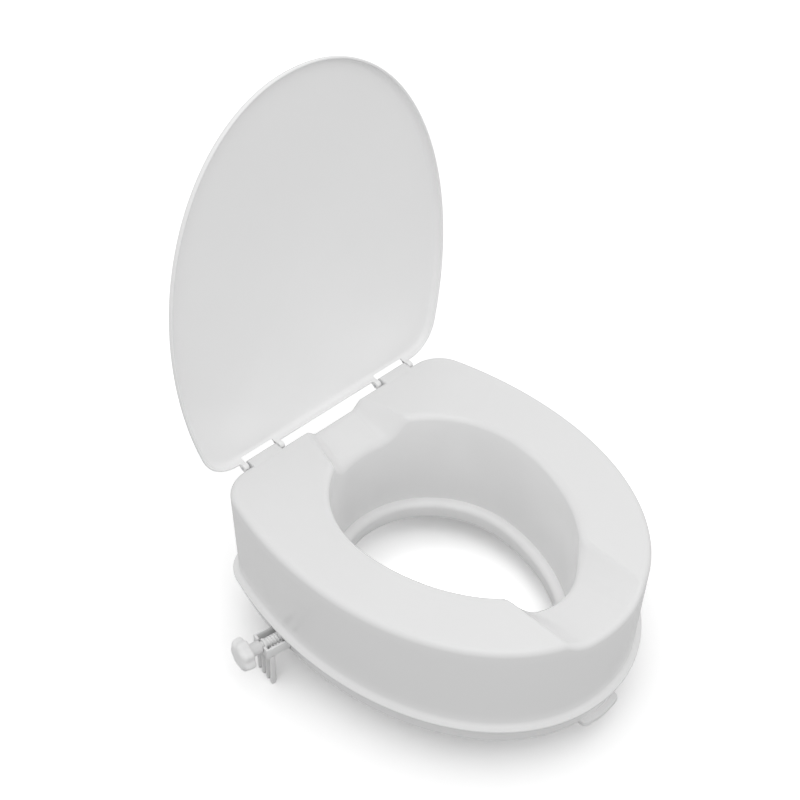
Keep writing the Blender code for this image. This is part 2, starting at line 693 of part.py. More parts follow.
def make_lid():
    """The lid with its four hinge arms, turned open, and its two hinge pins."""
    axis = bpy.data.objects.new("lid_axis", None)
    axis.location = (0.0, HINGE_Y, HINGE_Z)
    axis.rotation_euler = (math.radians(-LID_OPEN_DEG), 0.0, 0.0)
    bpy.context.scene.collection.objects.link(axis)
    lid = new_object("lid", lid_mesh(), MATERIALS["gloss_white"], 40.0)
    lid.parent = axis
    arms, bores, notches = [], [], []
    for side in (-1, 1):
        for k, x in enumerate(ARM_X):
            centre = side * x
            arm = tool(f"arm_{side}_{k}", extruded(arm_profile(), centre - ARM_W / 2, centre + ARM_W / 2))
            hole = tool(f"arm_bore_{side}_{k}",
                        turned([(-ARM_W, PIN_BORE_R), (ARM_W, PIN_BORE_R)], 12, along_x(centre, 0.0, 0.0)))
            arm.parent = axis
            hole.parent = axis
            arms.append(arm)
            bores.append(hole)
        inner = side * (ARM_X[0] + ARM_W / 2)
        outer = side * (ARM_X[1] - ARM_W / 2)
        notch = tool(f"knuckle_notch_{side}",
                     box((min(inner, outer), -LID_REAR - KNUCKLE_NOTCH, LID_RIM_Z - STAGGER),
                         (max(inner, outer), 0.0, LID_RIM_Z + LID_EDGE_R + STAGGER)))
        notch.parent = axis
        notches.append(notch)
    combine(lid, notches, 'DIFFERENCE')
    combine(lid, arms, 'UNION')
    combine(lid, bores, 'DIFFERENCE')
    for side, label in ((-1, "left"), (1, "right")):
        half = (ARM_X[1] - ARM_X[0] + ARM_W) / 2 + PIN_PROUD
        middle = side * (ARM_X[0] + ARM_X[1]) / 2
        pin = turned([(-half, PIN_R * 0.7), (-half + PIN_TIP, PIN_R), (half - PIN_TIP, PIN_R),
                      (half, PIN_R * 0.7)], 12, Matrix.Identity(4))
        pin = new_object(f"hinge_pin_{label}", pin, MATERIALS["steel"])
        pin.location = (middle, HINGE_Y, HINGE_Z)


# ---- side clamps -------------------------------------------------------------------------------
def clamp_turn(side):
    """The turn about the vertical of one clamp's pieces."""
    return side * math.radians(CLAMP_TURN_DEG)


def clamp_spot(side, x):
    """Where a place along one clamp's screw axis lies once the clamp is turned."""
    along = x - CLAMP_X
    turn = math.radians(CLAMP_TURN_DEG)
    return (-side * (CLAMP_X + along * math.cos(turn)), CLAMP_Y - along * math.sin(turn), SCREW_Z)


def turned_clamp(bm, side):
    """Turns a shape drawn in the left clamp's own frame into place, on either side."""
    pivot = Matrix.Translation((CLAMP_X, CLAMP_Y, 0.0))
    turn = pivot @ Matrix.Rotation(-math.radians(CLAMP_TURN_DEG), 4, 'Z') @ pivot.inverted()
    bmesh.ops.transform(bm, matrix=Matrix.Diagonal((-side, 1.0, 1.0, 1.0)) @ turn, verts=bm.verts)
    return bm


def fin_profile():
    """Side view of one fin of the leg as (x, z) points, with a round foot."""
    top = SHELF_Z + SHELF_T - 0.4 * STAGGER
    x0, x1 = LEG_X[0], LEG_X[1] - STAGGER
    radius = (x1 - x0) / 2
    return [(x0, top)] + arc(x0 + radius, LEG_Z + radius, radius, 180, 360, 8) + [(x1, top)]


def bracket_pieces():
    """The solids that make up one bracket (left side); the first is its shelf."""
    y0, y1 = CLAMP_Y - CLAMP_W / 2, CLAMP_Y + CLAMP_W / 2
    pieces = [box((CLAMP_X + STAGGER, y0 + STAGGER / 5, SHELF_Z),
                  (LEG_X[1] + STAGGER / 2, y1 - STAGGER / 5, SHELF_Z + SHELF_T))]
    for a, b in ((y0, y0 + BRACKET_T), (y1 - BRACKET_T, y1)):
        pieces.append(box((CLAMP_X + STAGGER, a, ARM_Z), (ARM_END_X, b, ARM_TOP)))
    pieces.append(box((CLAMP_X, y0 + STAGGER / 10, SHELF_Z + STAGGER / 2),
                      (CLAMP_X + END_T, y1 - STAGGER / 10, ARM_TOP - STAGGER / 2)))
    leg_foot = LEG_Z + (LEG_X[1] - LEG_X[0]) / 2
    pieces.append(box((LEG_X[1] - LEG_T, y0 + STAGGER * 0.3, leg_foot),
                      (LEG_X[1], y1 - STAGGER * 0.3, SHELF_Z + STAGGER)))
    for k in range(FINS):
        y = y0 + FIN_T / 2 + (CLAMP_W - FIN_T) * k / (FINS - 1)
        bm = bmesh.new()
        rows = [[bm.verts.new((x, v, z)) for x, z in fin_profile()] for v in (y - FIN_T / 2, y + FIN_T / 2)]
        join_rows(bm, rows)
        bm.faces.new(rows[0])
        bm.faces.new(rows[1])
        pieces.append(bm)
    return pieces


def thread_rows(start_x, end_x, segments):
    """Rows of (x, radius per segment) along a one-start thread."""
    rows = []
    count = int(round((end_x - start_x) / (PITCH / 3)))
    for i in range(count + 1):
        x = start_x + (end_x - start_x) * i / count
        fade = min(1.0, (x - start_x) / PITCH, (end_x - x) / PITCH)
        row = []
        for k in range(segments):
            phase = ((x - start_x) / PITCH - k / segments) % 1.0
            crest = smooth_step(2.2 * (1 - abs(2 * phase - 1)) - 0.6)
            row.append((x, SCREW_ROOT_R + (SCREW_R - SCREW_ROOT_R) * crest * fade))
        rows.append(row)
    return rows


def head_rows(segments):
    """Rows of (x, radius) pairs over a thumbscrew's lobed knob, its hub and its neck."""
    rows = []
    low, high = KNOB_X
    for x, scale in ((low, KNOB_FACE_SCALE[0]), (low + KNOB_EDGE[0] / 3, (1 + KNOB_FACE_SCALE[0]) / 2),
                     (low + KNOB_EDGE[0], 1.0), (high - KNOB_EDGE[1], 1.0), (high, KNOB_FACE_SCALE[1])):
        row = []
        for k in range(segments):
            valley = 0.5 - 0.5 * math.cos(KNOB_LOBES * 2 * math.pi * k / segments)
            row.append((x, KNOB_R * scale * (1 - KNOB_LOBE_DEPTH * valley)))
        rows.append(row)
    for x, radius in ((high + GAP, HUB_R), (CLAMP_X - GAP, HUB_R), (CLAMP_X - GAP, SCREW_ROOT_R)):
        rows.append([(x, radius)] * segments)
    return rows


def place_clamp_piece(obj, side, x):
    """Puts an object whose mesh is about the screw axis at a place along that axis."""
    obj.location = clamp_spot(side, x)
    obj.rotation_euler = (0.0, 0.0, clamp_turn(side))


def make_thumbscrew(side, label):
    """A thumbscrew: knob, hub, neck and coarse thread; its origin is on its own axis."""
    thread = thread_rows(CLAMP_X + END_T + 2 * GAP + THREAD_LEAD, SCREW_END_X - SCREW_TIP, THREAD_SEGMENTS)
    bm = bmesh.new()

    def add_row(row):
        made = []
        for k, (x, radius) in enumerate(row):
            angle = 2 * math.pi * k / len(row)
            made.append(bm.verts.new((x - CLAMP_X, radius * math.cos(angle), radius * math.sin(angle))))
        return made

    head = [add_row(row) for row in head_rows(HEAD_SEGMENTS)]
    join_rows(bm, head)
    bm.faces.new(head[0])
    body = [add_row(row) for row in thread]
    body.append(add_row([(SCREW_END_X, SCREW_ROOT_R * 0.8)] * THREAD_SEGMENTS))
    join_rows(bm, body)
    bm.faces.new(body[-1])
    loops = [e for e in bm.edges if e.is_boundary]
    bmesh.ops.bridge_loops(bm, edges=loops)
    bmesh.ops.triangulate(bm, faces=[f for f in bm.faces if len(f.verts) > 4])
    if side > 0:
        bmesh.ops.rotate(bm, matrix=Matrix.Rotation(math.pi, 3, 'Z'), verts=bm.verts)
    screw = new_object(f"thumbscrew_{label}", bm, MATERIALS["gloss_white"], 45.0)
    place_clamp_piece(screw, side, CLAMP_X)


def make_ring(side, label):
    """The retaining ring that keeps a thumbscrew in its bracket."""
    x0 = END_T + GAP
    x1 = x0 + RING_T
    inner, outer = RING_R
    rings = []
    for x, radius in ((x0, inner), (x1, inner), (x1, outer), (x0, outer)):
        rings.append([Vector((x, y, z)) for y, z in arc(0.0, 0.0, radius, 0, 345, 23)])
    bm = ring_mesh(rings)
    if side > 0:
        bmesh.ops.scale(bm, vec=(-1, 1, 1), verts=bm.verts)
    ring = new_object(f"retaining_ring_{label}", bm, MATERIALS["gloss_white"])
    place_clamp_piece(ring, side, CLAMP_X)


def make_nut(side, label):
    """The captive nut that a thumbscrew turns in."""
    middle = (NUT_X[0] + NUT_X[1]) / 2
    half_t, half = (NUT_X[1] - NUT_X[0]) / 2, NUT_SIZE / 2
    low_z = BASE_Z + PLATE + GAP - SCREW_Z
    bm = box((-half_t, -half, low_z), (half_t, half, half - NUT_TOP_CUT))
    nut = new_object(f"clamp_nut_{label}", bm, MATERIALS["gloss_white"])
    place_clamp_piece(nut, side, middle)
    hole = tool(f"nut_bore_{label}", turned([(-NUT_SIZE, SCREW_HOLE_R), (NUT_SIZE, SCREW_HOLE_R)], 24,
                                            Matrix.Identity(4)))
    place_clamp_piece(hole, side, middle)
    combine(nut, [hole], 'DIFFERENCE')


def make_bracket(side, label):
    """A bracket with a notch for its thumbscrew in the end plate; its origin is in that notch."""
    offset = Matrix.Translation((-CLAMP_X, -CLAMP_Y, -SCREW_Z))
    flip = Matrix.Diagonal((-side, 1.0, 1.0, 1.0))

    def settle(bm):
        bmesh.ops.transform(bm, matrix=flip @ offset, verts=bm.verts)
        return bm

    pieces = [settle(bm) for bm in bracket_pieces()]
    bracket = new_object(f"clamp_bracket_{label}", pieces[0], MATERIALS["gloss_white"])
    place_clamp_piece(bracket, side, CLAMP_X)
    joined = []
    for k, bm in enumerate(pieces[1:]):
        joined.append(tool(f"bracket_piece_{label}_{k}", bm))
    slot = arc(0.0, 0.0, SCREW_HOLE_R, 180, 360, 12)
    slot += [(SCREW_HOLE_R, ARM_TOP), (-SCREW_HOLE_R, ARM_TOP)]
    notch = tool(f"bracket_notch_{label}", extruded(slot, -2 * END_T, 2 * END_T))
    for shape in joined + [notch]:
        place_clamp_piece(shape, side, CLAMP_X)
    combine(bracket, joined, 'UNION')
    combine(bracket, [notch], 'DIFFERENCE')


# ---- build -------------------------------------------------------------------------------------
MATERIALS = {
    "gloss_white": material("gloss_white", (0.80, 0.80, 0.80), 0.28),
    "satin_white": material("satin_white", (0.76, 0.76, 0.76), 0.42),
    "pad_rubber": material("pad_rubber", (0.55, 0.55, 0.55), 0.75),
    "steel": material("steel", (0.62, 0.63, 0.65), 0.35, 1.0),
    "tool": material("tool", (0.9, 0.3, 0.1), 0.5),
}

make_seat()
make_base()
make_pads()
make_base_screws()
make_lid()
for clamp_side, clamp_label in ((-1, "left"), (1, "right")):
    make_bracket(clamp_side, clamp_label)
    make_thumbscrew(clamp_side, clamp_label)
    make_ring(clamp_side, clamp_label)
    make_nut(clamp_side, clamp_label)

frame = bpy.data.objects.new("seat_frame", None)
frame.location = FRAME_SHIFT
bpy.context.scene.collection.objects.link(frame)
for made in list(bpy.context.scene.objects):
    if made.parent is None and made is not frame:
        made.parent = frame
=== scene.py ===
"""The looks of a raised toilet seat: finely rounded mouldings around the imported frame.

Lengths are in metres.  Shapes are worked out in the seat's own frame, where z = 0 is the plane of the
bowl's rim and y = 0 the middle of the flange, and ORIGIN places that frame in the row frame.
"""
import json
import math

import bmesh
import bpy
from mathutils import Matrix, Vector


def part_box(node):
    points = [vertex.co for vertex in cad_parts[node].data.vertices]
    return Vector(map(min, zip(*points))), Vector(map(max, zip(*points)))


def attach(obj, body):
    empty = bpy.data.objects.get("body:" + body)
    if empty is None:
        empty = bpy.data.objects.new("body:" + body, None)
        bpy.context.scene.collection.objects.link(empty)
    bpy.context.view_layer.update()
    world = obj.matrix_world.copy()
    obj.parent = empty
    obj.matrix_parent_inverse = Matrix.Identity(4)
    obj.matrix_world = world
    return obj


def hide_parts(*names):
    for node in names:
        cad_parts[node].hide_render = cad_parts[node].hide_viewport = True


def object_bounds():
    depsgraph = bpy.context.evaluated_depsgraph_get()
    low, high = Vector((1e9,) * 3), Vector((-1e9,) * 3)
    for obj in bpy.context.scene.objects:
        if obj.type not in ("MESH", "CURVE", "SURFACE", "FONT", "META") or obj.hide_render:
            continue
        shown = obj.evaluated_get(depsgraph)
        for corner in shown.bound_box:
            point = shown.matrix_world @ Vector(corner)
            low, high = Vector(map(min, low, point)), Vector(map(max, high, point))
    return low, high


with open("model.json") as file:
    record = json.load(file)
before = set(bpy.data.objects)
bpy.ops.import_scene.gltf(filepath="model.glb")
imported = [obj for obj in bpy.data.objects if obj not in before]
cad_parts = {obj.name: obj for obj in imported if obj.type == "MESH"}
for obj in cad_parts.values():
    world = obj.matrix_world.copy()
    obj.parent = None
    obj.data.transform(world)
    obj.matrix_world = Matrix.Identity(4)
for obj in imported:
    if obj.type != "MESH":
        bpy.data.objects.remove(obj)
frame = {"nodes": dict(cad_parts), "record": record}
cad_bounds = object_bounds()

# ---- driving dimensions -------------------------------------------------------------------------
# Most are the frame's own.  The roundings, the wall's draft and the knob are finer or truer here.
GAP = 0.0003
WALL = 0.003
PLATE = 0.0025
BASE_Z = 0.0025
FLANGE_Z = 0.0245
TOP_Z = 0.144
EDGE_R = 0.0075         # rounding of the seat's outer top edge
BORE_EDGE_R = 0.0080    # rounding round the opening

OUT_HALF_W = 0.1819
OUT_WIDEST_Y = 0.0445
OUT_FRONT_LEN = 0.2504
OUT_POWER = 2.08
SIDE_BOW = 1.2
REAR_Y = 0.1945
CORNER_R = 0.040
FLANGE_OUT = 0.003
FLANGE_H = 0.005
FLANGE_LIP_R = 0.0012
COVE_STEPS = 5
COVE_MARGIN = 0.004     # above the flange, clear of the hollow curve
SKIN_DROP = 0.004       # how much deeper the inner skin's corners lie than its top
SKIN_STEP = 0.001       # how much further in the underside starts than the top edge's rounding
WALL_DRAFT = 0.0035      # how far the wall leans in from its top down to the flange

BORE_HALF_W = 0.1122
BORE_WIDEST_Y = 0.030
BORE_FRONT_LEN = 0.167
BORE_FRONT_POWER = 1.87
BORE_REAR_LEN = 0.118
BORE_FOOT = 0.0013      # lowest ring of the bore's wall above the ledge, before its own foot

FRONT_HALF_W = 0.057
FRONT_FLOOR_HALF_W = 0.027
FRONT_DEPTH_BORE = 0.026
FRONT_DEPTH_RIM = 0.012
REAR_HALF_W_BORE = 0.054
REAR_HALF_W_RIM = 0.040
REAR_FLOOR_HALF_W = 0.026
REAR_DEPTH_BORE = 0.028
REAR_DEPTH_RIM = 0.009

SKIRT_IN = 0.004
SKIRT_TOP = 0.032
SPIGOT_IN = 0.010
SPIGOT_Z = -0.0034
SHOULDER_Z = 0.0185
LEDGE_R = 0.008
LEDGE_STEPS = 10
LEDGE_UNDER = (0.002, 0.0008)    # its underside: in from the opening, and below the plate
SPIGOT_LIP_R = 0.0008
SPIGOT_STEP = 0.0004    # how much higher the spigot ends outside than inside
TRAY_FOOT_R = 0.0025
LUG_HALF_W = 0.0265
LUG_OUT = 0.0034
LUG_SHAPE = 5.0
LUG_CORNER_R = 0.006
LUG_ROOT = 0.006        # how far the lug reaches in under the tray
LUG_FOOT_R = 0.0025
LUG_Z = (-0.0030, 0.0043)

HINGE_Y = 0.1995
HINGE_Z = 0.1395
LID_OPEN_DEG = 94.2
LID_OVERHANG = 0.0030
LID_FRONT = 0.4145
LID_REAR = 0.0016
LID_RIM_Z = 0.0049
LID_EDGE_R = 0.009
LID_CROWN = 0.0075
LID_T = 0.0026
LID_EDGE_STEPS = 12
LID_SPANS = 24          # from the rim's rounding in to the middle
LID_CROWN_POWER = 1.5
RIM_ROUND = 0.0009      # how far the rim's edge bulges down
KNUCKLE_NOTCH = 0.0040
ARM_X = (0.0711, 0.1203)
ARM_W = 0.0062
ARM_R = 0.0044
ARM_BEVEL = 0.0007
NECK_TOP = 0.0030       # where the arm's neck meets the lid: heights above the lid's rim, and how far
NECK_FOOT = 0.0002      # its three corners lie past the lid's rear edge
NECK_Y = (0.0004, -0.0016, -0.0022)
NOTCH_MARGIN = (0.002, 0.001)    # how far a notch cuts past the lid: below and behind, and above
KNUCKLE_R = 0.0046
KNUCKLE_ROOT = 0.0005   # how far a knuckle reaches in past the seat's edge rounding
KNUCKLE_SINK = 0.0002   # and how far its root lies below the seat's top there
KNUCKLE_HIP = 0.002     # its root's height below the axis, under the seat's top
KNUCKLE_DROP = 0.012    # its foot's height below the axis, on the rear wall
KNUCKLE_WALL = 0.0015   # how far its foot reaches into that wall
KNUCKLE_END_GAP = 0.0022
KNUCKLE_BEVEL = 0.0006

CLAMP_TURN_DEG = 9.5
CLAMP_Y = 0.0871
CLAMP_W = 0.028
ARM_Z = 0.0086
ARM_TOP = 0.0205
BRACKET_T = 0.0022
BRACKET_BEVEL = 0.0005
SHELF_Z = 0.0056
SHELF_T = 0.0020
CLAMP_X = -0.2024
END_T = 0.0025
ARM_END_X = -0.1529
LEG_Z = -0.0360
LEG_X = (-0.1992, -0.1930)
LEG_T = 0.0022
STAGGER = 0.001
NOTCH_X = (-0.190, -0.1665)
NOTCH_GAP = 0.0006
FIN_T = 0.0022
FINS = 4
SCREW_Z = 0.0150
SCREW_R = 0.0060
SCREW_ROOT_R = 0.0045
SCREW_HOLE_R = 0.0063
PITCH = 0.0035
SCREW_END_X = -0.1369
SCREW_TIP = 0.0015
THREAD_LEAD = 0.0026
HUB_R = 0.0071
KNOB_X = (-0.2303, -0.2168)
KNOB_R = 0.0184
KNOB_LOBES = 7
KNOB_LOBE_DEPTH = 0.15
KNOB_FACE = 0.50        # flat middle of the knob's face, as a share of its radius
KNOB_ROUND = 0.0058     # depth of the rounding from the face out to the lobes
KNOB_BACK_R = 0.0022
HUB_FOOT_R = 0.0006
SCREW_SEGMENTS = 84

# stations round the outlines
FRONT_STEPS = 56
SIDE_STEPS = 84
REAR_STEPS = 44
BEND_WEIGHT = 0.06
FILLET_STEPS = 8
TOP_SPANS = 16          # across the seating surface
UNDER_SPANS = 8         # across its underside
SEAM = 0.00005          # a gap too small to show as a dark line, between seat and ledge

# the seat's own frame in the row frame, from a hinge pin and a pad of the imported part
pin_low, pin_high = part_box("hinge_pin_left")
pad_low, pad_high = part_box("bowl_pad_front_left")
ORIGIN = Vector((0.0, (pin_low.y + pin_high.y) / 2 - HINGE_Y, pad_low.z))


# ---- outlines ----------------------------------------------------------------------------------
def half_oval(half_w, length, power, x):
    """Distance from an oval's widest line to its edge, at the distance x from its axis."""
    share = min(abs(x) / half_w, 1.0)
    return length * (1.0 - share ** power) ** (1.0 / power)


def outer_side_path():
    """Right side of the outer wall, from the front recess round to the rear recess."""
    front_start = FRONT_HALF_W + 0.005
    top_angle = math.asin((front_start / OUT_HALF_W) ** (OUT_POWER / 2))
    path = []
    for k in range(161):
        angle = top_angle + (math.pi / 2 - top_angle) * k / 160
        x = OUT_HALF_W * math.sin(angle) ** (2 / OUT_POWER)
        path.append((x, OUT_WIDEST_Y - OUT_FRONT_LEN * math.cos(angle) ** (2 / OUT_POWER)))
    corner_y = REAR_Y - CORNER_R
    lean = 0.0
    for _ in range(20):
        join_y = corner_y + CORNER_R * math.sin(lean)
        lean = math.atan(2 * SIDE_BOW * (join_y - OUT_WIDEST_Y))
    join_x = OUT_HALF_W - SIDE_BOW * (join_y - OUT_WIDEST_Y) ** 2
    corner_x = join_x - CORNER_R * math.cos(lean)
    for k in range(1, 61):
        y = OUT_WIDEST_Y + (join_y - OUT_WIDEST_Y) * k / 60
        path.append((OUT_HALF_W - SIDE_BOW * (y - OUT_WIDEST_Y) ** 2, y))
    for k in range(1, 49):
        angle = lean + (math.pi / 2 - lean) * k / 48
        path.append((corner_x + CORNER_R * math.cos(angle), corner_y + CORNER_R * math.sin(angle)))
    path.append((REAR_HALF_W_RIM + 0.004, REAR_Y))
    return path


def bore_side_path():
    """Right side of the opening, from the front recess round to the rear recess."""
    front_start = FRONT_HALF_W + 0.005
    low = math.asin((front_start / BORE_HALF_W) ** (BORE_FRONT_POWER / 2))
    path = []
    for k in range(161):
        angle = low + (math.pi / 2 - low) * k / 160
        x = BORE_HALF_W * math.sin(angle) ** (2 / BORE_FRONT_POWER)
        drop = math.cos(angle) ** (2 / BORE_FRONT_POWER)
        path.append((x, BORE_WIDEST_Y - BORE_FRONT_LEN * drop))
    high = math.acos((REAR_HALF_W_BORE + 0.004) / BORE_HALF_W)
    for k in range(1, 121):
        angle = high * k / 120
        path.append((BORE_HALF_W * math.cos(angle), BORE_WIDEST_Y + BORE_REAR_LEN * math.sin(angle)))
    return path


def spaced(path, count):
    """The inner points of a path cut into steps that are shorter where it bends."""
    points = [Vector(p) for p in path]
    lengths = [0.0]
    for k in range(1, len(points)):
        step = points[k] - points[k - 1]
        bend = step.angle(points[k + 1] - points[k], 0.0) if k + 1 < len(points) else 0.0
        lengths.append(lengths[-1] + step.length + BEND_WEIGHT * bend)
    result, i = [], 0
    for k in range(1, count):
        target = lengths[-1] * k / count
        while lengths[i + 1] < target:
            i += 1
        share = (target - lengths[i]) / (lengths[i + 1] - lengths[i])
        result.append(points[i].lerp(points[i + 1], share))
    return result


def outline(side_path, front_y, rear_y, rear_half_w):
    """A closed outline, anticlockwise from the middle of the front, as a list of plan points."""
    front_half_w = FRONT_HALF_W + 0.005
    half_front = FRONT_STEPS // 2
    half_rear = REAR_STEPS // 2
    right = []
    for k in range(half_front + 1):
        x = front_half_w * k / half_front
        right.append(Vector((x, front_y(x))))
    right += spaced(side_path, SIDE_STEPS)
    for k in range(half_rear, -1, -1):
        x = rear_half_w * k / half_rear
        right.append(Vector((x, rear_y(x))))
    left = [Vector((-p.x, p.y)) for p in reversed(right[1:-1])]
    return right + left


OUTER = outline(outer_side_path(),
                lambda x: OUT_WIDEST_Y - half_oval(OUT_HALF_W, OUT_FRONT_LEN, OUT_POWER, x),
                lambda x: REAR_Y, REAR_HALF_W_RIM + 0.004)
BORE = outline(bore_side_path(),
               lambda x: BORE_WIDEST_Y - half_oval(BORE_HALF_W, BORE_FRONT_LEN, BORE_FRONT_POWER, x),
               lambda x: BORE_WIDEST_Y + half_oval(BORE_HALF_W, BORE_REAR_LEN, 2.0, x),
               REAR_HALF_W_BORE + 0.004)


def grown(points, distance):
    """A closed outline moved outwards by a distance."""
    count = len(points)
    moved = []
    for k, point in enumerate(points):
        along = (points[(k + 1) % count] - points[k - 1]).normalized()
        moved.append(point + Vector((along.y, -along.x)) * distance)
    return moved


def smooth_step(value):
    """0 below 0, 1 above 1, and an S-shaped slope between."""
    t = min(max(value, 0.0), 1.0)
    return t * t * (3.0 - 2.0 * t)


def eased(value):
    """0 below 0, 1 above 1, starting at once and ending level between."""
    t = min(max(value, 0.0), 1.0)
    return t * (2.0 - t)


def recess_depth(x, y):
    """How far the seating surface lies below its flat level at a place in plan."""
    side = abs(x)
    if y < 0:
        rim = OUT_WIDEST_Y - half_oval(OUT_HALF_W, OUT_FRONT_LEN, OUT_POWER, side)
        bore = BORE_WIDEST_Y - half_oval(BORE_HALF_W, BORE_FRONT_LEN, BORE_FRONT_POWER, side)
        share = min(max((y - rim) / (bore - rim), 0.0), 1.0)
        depth = FRONT_DEPTH_RIM + (FRONT_DEPTH_BORE - FRONT_DEPTH_RIM) * share
        slope = eased((FRONT_HALF_W - side) / (FRONT_HALF_W - FRONT_FLOOR_HALF_W))
        return depth * slope
    bore = BORE_WIDEST_Y + half_oval(BORE_HALF_W, BORE_REAR_LEN, 2.0, side)
    share = min(max((REAR_Y - y) / (REAR_Y - bore), 0.0), 1.0)
    depth = REAR_DEPTH_RIM + (REAR_DEPTH_BORE - REAR_DEPTH_RIM) * share ** 1.3
    half_w = REAR_HALF_W_RIM + (REAR_HALF_W_BORE - REAR_HALF_W_RIM) * share
    reach = (half_w - side) / (half_w - REAR_FLOOR_HALF_W)
    slope = smooth_step(reach) * (1 - share) + eased(reach) * share
    return depth * slope


# ---- materials ---------------------------------------------------------------------------------
def node_at(tree, kind, x, y, **properties):
    """A new shader node at a place in the node editor, with some of its properties set."""
    node = tree.nodes.new(kind)
    node.location = (x, y)
    for key, value in properties.items():
        setattr(node, key, value)
    return node


def noise(tree, coords, scale, detail, middle, spread, y):
    """A noise texture as a value that varies about a middle value."""
    texture = node_at(tree, "ShaderNodeTexNoise", -800, y)
    texture.inputs["Scale"].default_value = scale
    texture.inputs["Detail"].default_value = detail
    tree.links.new(coords, texture.inputs["Vector"])
    value = node_at(tree, "ShaderNodeMath", -600, y, operation='MULTIPLY_ADD')
    value.inputs[1].default_value = 4 * spread
    value.inputs[2].default_value = middle - 2 * spread
    tree.links.new(texture.outputs["Fac"], value.inputs[0])
    return value.outputs["Value"]


def finish(name, colour, roughness, mottle, grain, ripple, metallic=0.0):
    """A procedural surface.  grain and ripple are (features per metre, height in metres)."""
    made = bpy.data.materials.new(name)
    made.use_nodes = True
    tree = made.node_tree
    shader = tree.nodes["Principled BSDF"]
    coords = node_at(tree, "ShaderNodeTexCoord", -1000, 0).outputs["Object"]
    tint = node_at(tree, "ShaderNodeVectorMath", -300, 300, operation='SCALE')
    tint.inputs[0].default_value = colour
    tree.links.new(noise(tree, coords, 9.0, 3.0, 1.0, mottle, 300), tint.inputs["Scale"])
    tree.links.new(tint.outputs["Vector"], shader.inputs["Base Color"])
    tree.links.new(noise(tree, coords, 22.0, 3.0, roughness, roughness * 0.10, 0), shader.inputs["Roughness"])
    shader.inputs["Metallic"].default_value = metallic
    height = node_at(tree, "ShaderNodeMath", -400, -400, operation='ADD')
    tree.links.new(noise(tree, coords, grain[0], 2.0, 0.0, grain[1], -300), height.inputs[0])
    tree.links.new(noise(tree, coords, ripple[0], 1.0, 0.0, ripple[1], -600), height.inputs[1])
    bump = node_at(tree, "ShaderNodeBump", -200, -300)
    bump.inputs["Strength"].default_value = 1.0
    bump.inputs["Distance"].default_value = 1.0
    tree.links.new(height.outputs["Value"], bump.inputs["Height"])
    tree.links.new(bump.outputs["Normal"], shader.inputs["Normal"])
    return made


MATERIALS = {
    "seat_plastic": finish("moulded_white", (0.84, 0.84, 0.84), 0.22, 0.006, (900.0, 0.000004),
                           (26.0, 0.00003)),
    "base_plastic": finish("tray_white", (0.84, 0.84, 0.84), 0.34, 0.010, (900.0, 0.000008), (26.0, 0.00004)),
    "clamp_plastic": finish("clamp_white", (0.88, 0.88, 0.88), 0.30, 0.012, (1200.0, 0.000008),
                            (60.0, 0.00002)),
    "pad_rubber": finish("pad_grey", (0.42, 0.42, 0.42), 0.75, 0.05, (1800.0, 0.00003), (200.0, 0.00003)),
    "steel": finish("bright_steel", (0.62, 0.63, 0.65), 0.32, 0.03, (1800.0, 0.000006),
                    (200.0, 0.00001), 1.0),
}
# Painted light: the lid and its hinge arms are the seat's own white plastic, painted lighter (0.94 against
# the seat's 0.84) to stand in for the extra light on the lid's dish.
LID_WHITE_PAINTED_LIGHTER = finish("lid_white_painted_lighter", (0.94, 0.94, 0.94), 0.24, 0.006, (900.0, 0.000004), (26.0, 0.00003))
for subpart in frame["record"]["subparts"]:
    mesh = frame["nodes"][subpart["node"]].data
    mesh.materials.clear()
    mesh.materials.append(MATERIALS[subpart["material_slot"]])


# ---- mesh helpers ------------------------------------------------------------------------------
def new_object(name, bm, slot_name, smooth_deg=35.0):
    """An object from a bmesh, with its faces pointing out and its round stretches smooth."""
    bmesh.ops.recalc_face_normals(bm, faces=bm.faces)
    mesh = bpy.data.meshes.new(name)
    bm.to_mesh(mesh)
    bm.free()
    mesh.materials.append(MATERIALS[slot_name])
    mesh.shade_smooth()
    mesh.set_sharp_from_angle(angle=math.radians(smooth_deg))
    obj = bpy.data.objects.new(name, mesh)
    bpy.context.scene.collection.objects.link(obj)
    obj.location = ORIGIN
    return obj


def join_rows(bm, rows):
    """Bands of faces between neighbouring closed rows of vertices."""
    for a, b in zip(rows, rows[1:]):
        for k in range(len(a)):
            j = (k + 1) % len(a)
            bm.faces.new((a[k], a[j], b[j], b[k]))


def add_rings(bm, rings):
    """A closed body from closed rings of points; the last ring joins the first again."""
    rows = [[bm.verts.new(p) for p in ring] for ring in rings]
    join_rows(bm, rows + rows[:1])


def add_extruded(bm, profile, x0, x1):
    """A solid with a (y, z) profile between two X places."""
    rows = [[bm.verts.new((x, y, z)) for y, z in profile] for x in (x0, x1)]
    join_rows(bm, rows)
    bm.faces.new(rows[0])
    bm.faces.new(rows[1])


def add_box(bm, low, high):
    """An axis-aligned block between two corners."""
    size = Vector(high) - Vector(low)
    centre = (Vector(high) + Vector(low)) / 2
    place = Matrix.Translation(centre) @ Matrix.Diagonal((*size, 1.0))
    bmesh.ops.create_cube(bm, size=1.0, matrix=place)


def arc(cy, cz, radius, start_deg, end_deg, steps):
    """Points on an arc in the (y, z) plane."""
    points = []
    for k in range(steps + 1):
        angle = math.radians(start_deg + (end_deg - start_deg) * k / steps)
        points.append((cy + radius * math.cos(angle), cz + radius * math.sin(angle)))
    return points


def flat_ring(points, z):
    """A level ring."""
    return [Vector((p.x, p.y, z)) for p in points]


def quarter(radius, steps=FILLET_STEPS):
    """(inset, drop) pairs of a quarter-round, from the wall's face to the flat above it."""
    result = []
    for k in range(steps + 1):
        angle = math.pi / 2 * k / steps
        result.append((radius * (1 - math.cos(angle)), radius * (1 - math.sin(angle))))
    return result


